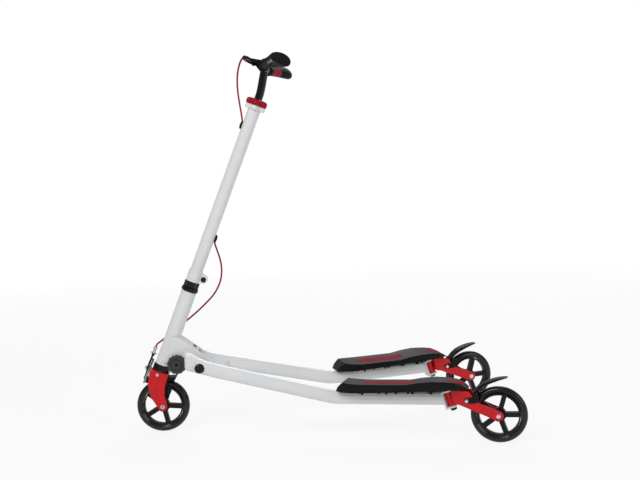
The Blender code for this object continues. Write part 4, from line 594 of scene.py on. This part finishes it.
knob_seat = place_of("lock_knob_turn")
knob_seat.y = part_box("lock_knob")[1].y
knob = new_piece("fluted_knob",
                 turned_mesh("knob", knob_profile(), KNOB_STEPS, KNOB_LOBES, KNOB_NOTCH,
                             KNOB_ROUND_INSIDE),
                 SATIN, "knob", axis_matrix(knob_seat, -ACROSS))
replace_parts(knob, "lock_knob")


# Grips

GRIP_INNER_END = 0.092
GRIP_OUTER_END = 0.205
BAR_STRAIGHT = 0.078
BAR_HALF_LENGTH = 0.198
BAR_SWEEP_BACK = 0.029
BAR_RISE = 0.018
BAR_FORWARD = 0.0116
BAR_HEIGHT = 0.963
BAR_EARLY_RISE = 0.35
GRIP_RING_POINTS = 40
WING_BACK = 0.0128
WING_LIFT = 0.0010
WING_LEAN = 0.0030
WING_FLATNESS = 0.22
# Share of the way along, half width, half height, and how far the middle lies behind the bar
GRIP_FORM = [
    (0.00, 0.0136, 0.0136, 0.0000), (0.01, 0.0150, 0.0150, 0.0000), (0.04, 0.0152, 0.0152, 0.0000),
    (0.06, 0.0134, 0.0134, 0.0000), (0.20, 0.0138, 0.0136, 0.0006), (0.35, 0.0160, 0.0140, 0.0028),
    (0.50, 0.0196, 0.0147, 0.0062), (0.65, 0.0238, 0.0156, 0.0098), (0.80, 0.0268, 0.0165, 0.0122),
    (0.92, 0.0278, 0.0168, 0.0128), (0.97, 0.0268, 0.0160, 0.0128), (0.99, 0.0250, 0.0144, 0.0126),
    (1.00, 0.0222, 0.0120, 0.0124),
]


def bar_middle(out):
    """The bar's centre beside the steering axis; the bar sweeps back and rises to its ends."""
    share = min(max((abs(out) - BAR_STRAIGHT) / (BAR_HALF_LENGTH - BAR_STRAIGHT), 0.0), 1.0)
    smooth = share * share * (3 - 2 * share)
    ease = smooth * BAR_EARLY_RISE + share * (1 - BAR_EARLY_RISE)
    return on_column(-BAR_FORWARD + BAR_SWEEP_BACK * ease, out, BAR_HEIGHT + BAR_RISE * ease)


def grip_rings(side):
    """Round at the bar's middle and swelling backward into the palm rest at its end."""
    rings = []
    for along, half_width, half_height, back in GRIP_FORM:
        out = side * (GRIP_INNER_END + (GRIP_OUTER_END - GRIP_INNER_END) * along)
        centre = bar_middle(out)
        wing = back / WING_BACK
        ring = []
        for angle in ring_angles(GRIP_RING_POINTS):
            c, s = math.cos(angle), math.sin(angle)
            flat = 1.0 - WING_FLATNESS * wing * max(-s, 0.0)
            lean = WING_LEAN * wing * c * (1 - s) / 2
            behind = half_width * c + back
            up = half_height * s * flat + WING_LIFT * wing - lean
            ring.append(centre + BEHIND_COLUMN * behind + UP_COLUMN * up)
        rings.append(ring)
    return rings


for side_name, side in SIDES.items():
    grip = new_piece("palm_grip_" + side_name, skin("palm_grip", grip_rings(side)), GRIP, "stem")
    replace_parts(grip, "grip_" + side_name)


# Brake cable, whole from the lever's barrel to the caliper

BARREL_TILT = math.radians(-75)
BARREL_FOOT = (-0.0506, -0.064, 0.965)
BARREL_REACHES = (0.0043, 0.0130)
CURVE_STEPS = 5
CABLE_ROUTE = [
    (-0.0700, -0.0620, 0.9655), (-0.0742, -0.0545, 0.9500), (-0.0728, -0.0420, 0.9260),
    (-0.0665, -0.0280, 0.9010), (-0.0560, -0.0150, 0.8750), (-0.0425, -0.0060, 0.8490),
    (-0.0285, -0.0010, 0.8240), (-0.0208, 0.0000, 0.8090), (-0.0168, 0.0000, 0.7970),
    (-0.0138, 0.0000, 0.7860), (-0.0135, 0.0000, 0.7680), (-0.0134, 0.0000, 0.6060),
    (-0.0110, 0.0000, 0.5760), (-0.0020, 0.0000, 0.5450), (0.0070, 0.0000, 0.5200),
    (0.0112, 0.0000, 0.5050), (0.0136, 0.0000, 0.4930), (0.0172, 0.0000, 0.4810),
    (0.0228, 0.0000, 0.4680), (0.0355, 0.0000, 0.4520), (0.0520, 0.0020, 0.4300),
    (0.0650, 0.0060, 0.4030), (0.0705, 0.0120, 0.3720), (0.0665, 0.0200, 0.3370),
    (0.0540, 0.0280, 0.3040), (0.0380, 0.0350, 0.2700), (0.0190, 0.0385, 0.2360),
    (0.0000, 0.0380, 0.2050), (-0.0150, 0.0345, 0.1800), (-0.0275, 0.0290, 0.1600),
]
CABLE_END = [(-0.0344, 0.0247, 0.1496), (-0.0356, 0.0235, 0.1421), (-0.0356, 0.0235, 0.1336)]
WIRE_FOOT_UP = 0.1085


def smooth_route(points, steps):
    """Points along a Catmull-Rom curve through the given points."""
    route = [Vector(point) for point in points]
    ends = [2 * route[0] - route[1]] + route + [2 * route[-1] - route[-2]]
    made = []
    for i in range(len(route) - 1):
        a, b, c, d = ends[i:i + 4]
        for k in range(steps):
            u = k / steps
            made.append(0.5 * ((2 * b) + (c - a) * u + (2 * a - 5 * b + 4 * c - d) * u * u
                               + (3 * b - a - 3 * c + d) * u ** 3))
    return made + [route[-1]]


def tube_piece(name, points, radius, finish, body, resolution):
    """A round cord or bar with closed ends through the given points."""
    line = bpy.data.curves.new(name, "CURVE")
    line.dimensions = "3D"
    line.bevel_depth = radius
    line.bevel_resolution = resolution
    line.use_fill_caps = True
    spline = line.splines.new("POLY")
    spline.points.add(len(points) - 1)
    for point, at in zip(spline.points, points):
        point.co = (*at, 1.0)
    line.materials.append(finish.material)
    piece = bpy.data.objects.new(name, line)
    bpy.context.scene.collection.objects.link(piece)
    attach(piece, body)
    return piece


def make_cable():
    ahead, above = math.sin(BARREL_TILT), math.cos(BARREL_TILT)
    foot_back, foot_out, foot_up = BARREL_FOOT
    start = [(foot_back + ahead * reach, foot_out, foot_up + above * reach)
             for reach in BARREL_REACHES]
    route = smooth_route([on_column(*point) for point in start + CABLE_ROUTE + CABLE_END],
                         CURVE_STEPS)
    length = sum((b - a).length for a, b in zip(route, route[1:]))
    cable = tube_piece("brake_cable_housing", route, CABLE_RADIUS, CABLE, "steering",
                       4)
    back, out, top = CABLE_END[-1]
    wire = tube_piece("brake_wire", [on_column(back, out, top), on_column(back, out, WIRE_FOOT_UP)],
                      WIRE_RADIUS, STEEL, "caliper_right", 2)
    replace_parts(cable, "brake_cable")


make_cable()


# Foot brakes over the rear tyres

FENDER_PIVOT = (0.0444, 0.110)
FENDER_HALF_SPAN = 0.0218
EAR_THICKNESS = 0.003
RIVET_GAP = 0.0003
RIVET_RADIUS = 0.0053
RIVET_HEIGHT = 0.0030
FENDER_RING_POINTS = 24
FENDER_EDGE_ROUNDING = 0.45
FENDER_FACE_ROUNDING = 0.7
# Behind the kingpin, height, thickness and width of the tapering tail
FENDER_FORM = [
    (0.0592, 0.1180, 0.0044, 0.0300), (0.0625, 0.1262, 0.0056, 0.0310),
    (0.0685, 0.1345, 0.0070, 0.0312), (0.0770, 0.1428, 0.0085, 0.0310),
    (0.0880, 0.1504, 0.0098, 0.0306), (0.1010, 0.1565, 0.0098, 0.0300),
    (0.1140, 0.1612, 0.0086, 0.0290), (0.1260, 0.1648, 0.0068, 0.0274),
    (0.1370, 0.1672, 0.0048, 0.0244), (0.1440, 0.1684, 0.0030, 0.0198),
    (0.1472, 0.1689, 0.0014, 0.0130),
]
EAR_RADIUS = 0.0068
EAR_TAIL = [(0.0640, 0.1045), (0.0745, 0.1085), (0.0760, 0.1215), (0.0690, 0.1320),
            (0.0620, 0.1270), (0.0585, 0.1190)]
EAR_ARC_STEPS = 12
EAR_ARC_FROM = 95
EAR_ARC_TO = 260
BRIDGE = [(0.0190, 0.0030), (0.0300, -0.0005), (0.0312, 0.0112), (0.0255, 0.0205),
          (0.0165, 0.0110)]
BRIDGE_INNER_EDGE = 0.0140


def fender_mesh():
    """The tail over the tyre, which tapers to its rear, about the fender's pivot."""
    rings = []
    for i, (back, up, thick, wide) in enumerate(FENDER_FORM):
        before = FENDER_FORM[max(i - 1, 0)]
        after = FENDER_FORM[min(i + 1, len(FENDER_FORM) - 1)]
        along = Vector((after[0] - before[0], 0.0, after[1] - before[1])).normalized()
        normal = Vector((-along.z, 0.0, along.x))
        centre = Vector((back - FENDER_PIVOT[0], 0.0, up - FENDER_PIVOT[1]))
        ring = []
        for angle in ring_angles(FENDER_RING_POINTS, 0.5):
            c, s = math.cos(angle), math.sin(angle)
            across = wide / 2 * math.copysign(abs(c) ** FENDER_EDGE_ROUNDING, c)
            rise = thick / 2 * math.copysign(abs(s) ** FENDER_FACE_ROUNDING, s)
            ring.append(centre + ACROSS * across + normal * rise)
        rings.append(ring)
    return skin("fender", rings)


def ear_outline():
    """Round about the pivot, with a tail that reaches up to the fender."""
    lobe = []
    for i in range(EAR_ARC_STEPS + 1):
        angle = math.radians(EAR_ARC_FROM + (EAR_ARC_TO - EAR_ARC_FROM) * i / EAR_ARC_STEPS)
        lobe.append((EAR_RADIUS * math.cos(angle), EAR_RADIUS * math.sin(angle)))
    return lobe + [(back - FENDER_PIVOT[0], up - FENDER_PIVOT[1]) for back, up in EAR_TAIL]


def make_foot_brake(side_name):
    """The fender on its two ears, with a rivet head outside each ear."""
    body = "fender_" + side_name
    pivot = side_frame(side_name, place_of("fender_" + side_name + "_press"))

    def black_part(name, mesh):
        return new_piece(name + side_name, mesh, PLASTIC, body, pivot)

    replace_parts(black_part("foot_brake_", fender_mesh()), "rear_fender_" + side_name)
    ear_outside = FENDER_HALF_SPAN + EAR_THICKNESS
    for face in (-1, 1):
        near, far = sorted((face * FENDER_HALF_SPAN, face * ear_outside))
        black_part("foot_brake_ear_", plate("ear", ear_outline(), near, far))
        seat = pivot @ Matrix.Translation((0, face * (ear_outside + RIVET_GAP), 0))
        outward = (seat.to_3x3() @ ACROSS) * face
        new_piece("fender_rivet_" + side_name, dome("rivet", RIVET_RADIUS, RIVET_HEIGHT), STEEL,
                  "caster_" + side_name, axis_matrix(seat.translation, outward))
    for face in (-1, 1):
        near, far = sorted((face * FENDER_HALF_SPAN, face * BRIDGE_INNER_EDGE))
        black_part("foot_brake_bridge_", plate("bridge", BRIDGE, near, far))


for side_name in SIDES:
    make_foot_brake(side_name)


# Painted shade in the bolts' sockets, and the fork's crown bolts

PIVOT_SOCKET_WIDTH = 0.0030
AXLE_SOCKET_WIDTH = 0.0024
SOCKET_FACES = (-0.0006, 0.00015)
CROWN_BOLT_BACK = -0.003
CROWN_BOLT_UP = 0.0783
CROWN_BOLT_SUNK = 0.0010
CROWN_BOLT_RADIUS = 0.0042
CROWN_BOLT_HEIGHT = 0.0030


def hex_socket_shade(name, node, side, width, body):
    """A dark hexagon in a bolt's end, on one side of the scooter: painted shade standing for the
    socket's recess.
    """
    low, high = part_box(node)
    place = (low + high) / 2
    place.y = high.y if side > 0 else low.y
    ring = [(width * math.cos(angle), width * math.sin(angle)) for angle in ring_angles(6)]
    mesh = skin(name, [[Vector((x, y, z)) for x, y in ring] for z in SOCKET_FACES])
    new_piece(name, mesh, RUBBER_AND_SOCKET_SHADE, body, axis_matrix(place, ACROSS * side))


for side in SIDES.values():
    hex_socket_shade("pivot_socket_shade", "pivot_bolt", side, PIVOT_SOCKET_WIDTH, "frame")
hex_socket_shade("front_axle_socket_shade", "front_axle", SIDES["left"], AXLE_SOCKET_WIDTH, "steering")

crown_bolt_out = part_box("fork")[1].y - CROWN_BOLT_SUNK
for side in SIDES.values():
    seat = on_column(CROWN_BOLT_BACK, side * crown_bolt_out, CROWN_BOLT_UP)
    new_piece("fork_crown_bolt", dome("crown_bolt", CROWN_BOLT_RADIUS, CROWN_BOLT_HEIGHT), STEEL,
              "steering", axis_matrix(seat, ACROSS * side))


# Clips under both edges of each deck

CLIP_STATIONS = (0.087, 0.150, 0.207, 0.261)
DECK_FOOT_BACK = 0.026
DECK_FOOT_OUT = 0.1195
DECK_EDGE = 0.0455
SKIRT_START = 0.040
SKIRT_LENGTH = 0.250
SKIRT_FRONT_HEIGHT = 0.1262
SKIRT_REAR_HEIGHT = 0.1390
CLIP_THICKNESS = 0.0026
CLIP_LENGTH = 0.0055
CLIP_DROP = 0.0050
CLIP_ROUNDING = 0.0012


def skirt_height(along):
    """The lower edge of the deck's skirt, which rises a little to the rear."""
    share = (along - SKIRT_START) / SKIRT_LENGTH
    return SKIRT_FRONT_HEIGHT + (SKIRT_REAR_HEIGHT - SKIRT_FRONT_HEIGHT) * share


def clip_outline(along):
    low = skirt_height(along) - CLIP_DROP
    shoulder = low + CLIP_ROUNDING
    top = shoulder + CLIP_DROP
    half = CLIP_LENGTH / 2
    return [(along - half, shoulder), (along - half / 2, low), (along + half / 2, low),
            (along + half, shoulder), (along + half, top), (along - half, top)]


for side_name, side in SIDES.items():
    deck = side_frame(side_name, (DECK_FOOT_BACK, side * DECK_FOOT_OUT, 0.0))
    for along in CLIP_STATIONS:
        for edge in (-1, 1):
            near, far = sorted((edge * DECK_EDGE, edge * (DECK_EDGE + CLIP_THICKNESS)))
            new_piece("deck_clip_" + side_name, plate("clip", clip_outline(along), near, far),
                      PLASTIC, "frame", deck)


# The barrel adjuster's cross bar, by which it is turned by hand

CROSS_BAR_UP = 0.1225
CROSS_BAR_REACH = 0.0085
CROSS_BAR_RADIUS = 0.0013

barrel_back, barrel_out, _ = CABLE_END[-1]
cross_bar = [on_column(barrel_back + reach, barrel_out, CROSS_BAR_UP)
             for reach in (-CROSS_BAR_REACH, CROSS_BAR_REACH)]
tube_piece("adjuster_cross_bar", cross_bar, CROSS_BAR_RADIUS, RED_PLASTIC, "caliper_right",
           3)


# Studio

CAMERA_PLACE = (-0.0409, -2.7337, 0.7304)
CAMERA_YAW = 0.0221032586
CAMERA_PITCH = 0.0790766735
CAMERA_ROLL = 0.0322581136
FOCAL_PIXELS = 1001.75735
FRAME_WIDTH = 640
CENTRE_SHIFT_PIXELS = 5.5
SENSOR = 36.0
FLOOR_REACH = 30.0
# Squared distances, in square metres, between which the floor turns all white
WHITENS_FROM = 1.2
WHITENS_TO = 16.0
WHITE_LIGHT = (1.0, 1.0, 1.0)


def make_camera():
    """The photograph's own view."""
    forward = Vector((math.sin(CAMERA_YAW) * math.cos(CAMERA_PITCH),
                      math.cos(CAMERA_YAW) * math.cos(CAMERA_PITCH), -math.sin(CAMERA_PITCH)))
    level = Vector((math.cos(CAMERA_YAW), -math.sin(CAMERA_YAW), 0.0))
    upright = level.cross(forward)
    right = level * math.cos(CAMERA_ROLL) - upright * math.sin(CAMERA_ROLL)
    above = level * math.sin(CAMERA_ROLL) + upright * math.cos(CAMERA_ROLL)
    lens = bpy.data.cameras.new("photo_camera")
    lens.sensor_width = SENSOR
    lens.lens = SENSOR * FOCAL_PIXELS / FRAME_WIDTH
    lens.shift_x = -CENTRE_SHIFT_PIXELS / FRAME_WIDTH
    camera = bpy.data.objects.new("photo_camera", lens)
    bpy.context.scene.collection.objects.link(camera)
    turn = Matrix((right, above, -forward)).transposed().to_4x4()
    camera.matrix_world = Matrix.Translation(CAMERA_PLACE) @ turn
    bpy.context.scene.camera = camera


def soft_lamp(name, place, aim, size, power):
    light = bpy.data.lights.new(name, "AREA")
    light.shape = "RECTANGLE"
    light.size, light.size_y = size
    light.energy = power
    lamp = bpy.data.objects.new(name, light)
    bpy.context.scene.collection.objects.link(lamp)
    lamp.location = place
    lamp.rotation_mode = "QUATERNION"
    lamp.rotation_quaternion = (Vector(aim) - Vector(place)).to_track_quat("-Z", "Y")


def paper_floor():
    """Paper that keeps the shadow and shows nearly white to the camera, all white far out."""
    paper = Finish("paper_floor", (0.9, 0.9, 0.9), 0.9)
    paper.set("Base Color", paper.mix(paper.noise(3.0), (0.89, 0.89, 0.89), (0.91, 0.91, 0.91)))
    glow = paper.node("ShaderNodeEmission", None, {"Color": WHITE_LIGHT, "Strength": 1.0})
    rays = paper.node("ShaderNodeLightPath").others()
    seen = rays["Is Camera Ray"]
    glowing = seen.maths("MAXIMUM", seen.maths("MAXIMUM", seen, rays["Is Glossy Ray"]),
                         rays["Is Transmission Ray"])
    x, y, _ = paper.split(paper.place)
    far = paper.ramp(x * x + y * y, WHITENS_FROM, WHITENS_TO)
    share = glowing * (FLOOR_GLOW + far * (1.0 - FLOOR_GLOW))
    blend = paper.node("ShaderNodeMixShader", None,
                       {0: share, 1: Value(paper, paper.shader.outputs[0]), 2: glow})
    paper.feed(paper.tree.nodes["Material Output"].inputs["Surface"], blend)
    return paper


def make_floor():
    floor = bpy.data.meshes.new("floor")
    corners = [(x * FLOOR_REACH, y * FLOOR_REACH, 0) for x, y in ((-1, -1), (1, -1), (1, 1), (-1, 1))]
    floor.from_pydata(corners, [], [(0, 1, 2, 3)])
    floor.materials.append(paper_floor().material)
    ground = bpy.data.objects.new("floor", floor)
    bpy.context.scene.collection.objects.link(ground)


def make_world():
    """A world that is white to the camera and gives a softer light to everything else."""
    world = bpy.data.worlds.new("pale_world")
    world.use_nodes = True
    sky = Nodes(world.node_tree)
    seen = sky.node("ShaderNodeLightPath").others()["Is Camera Ray"]
    background = sky.tree.nodes["Background"].inputs
    sky.feed(background["Color"], WHITE_LIGHT)
    sky.feed(background["Strength"], WORLD_LIGHT + seen * (1.0 - WORLD_LIGHT))
    bpy.context.scene.world = world


make_camera()
make_floor()
make_world()
soft_lamp("key", (-1.4, -2.2, 2.6), (0.0, 0.0, 0.3), (1.8, 1.8), 48.0)
soft_lamp("fill", (2.4, -1.6, 1.4), (0.1, 0.0, 0.4), (1.6, 1.6), 16.0)
soft_lamp("back", (0.6, 2.4, 2.2), (0.0, 0.0, 0.4), (2.0, 1.2), 26.0)

bpy.context.scene.view_settings.view_transform = "Standard"
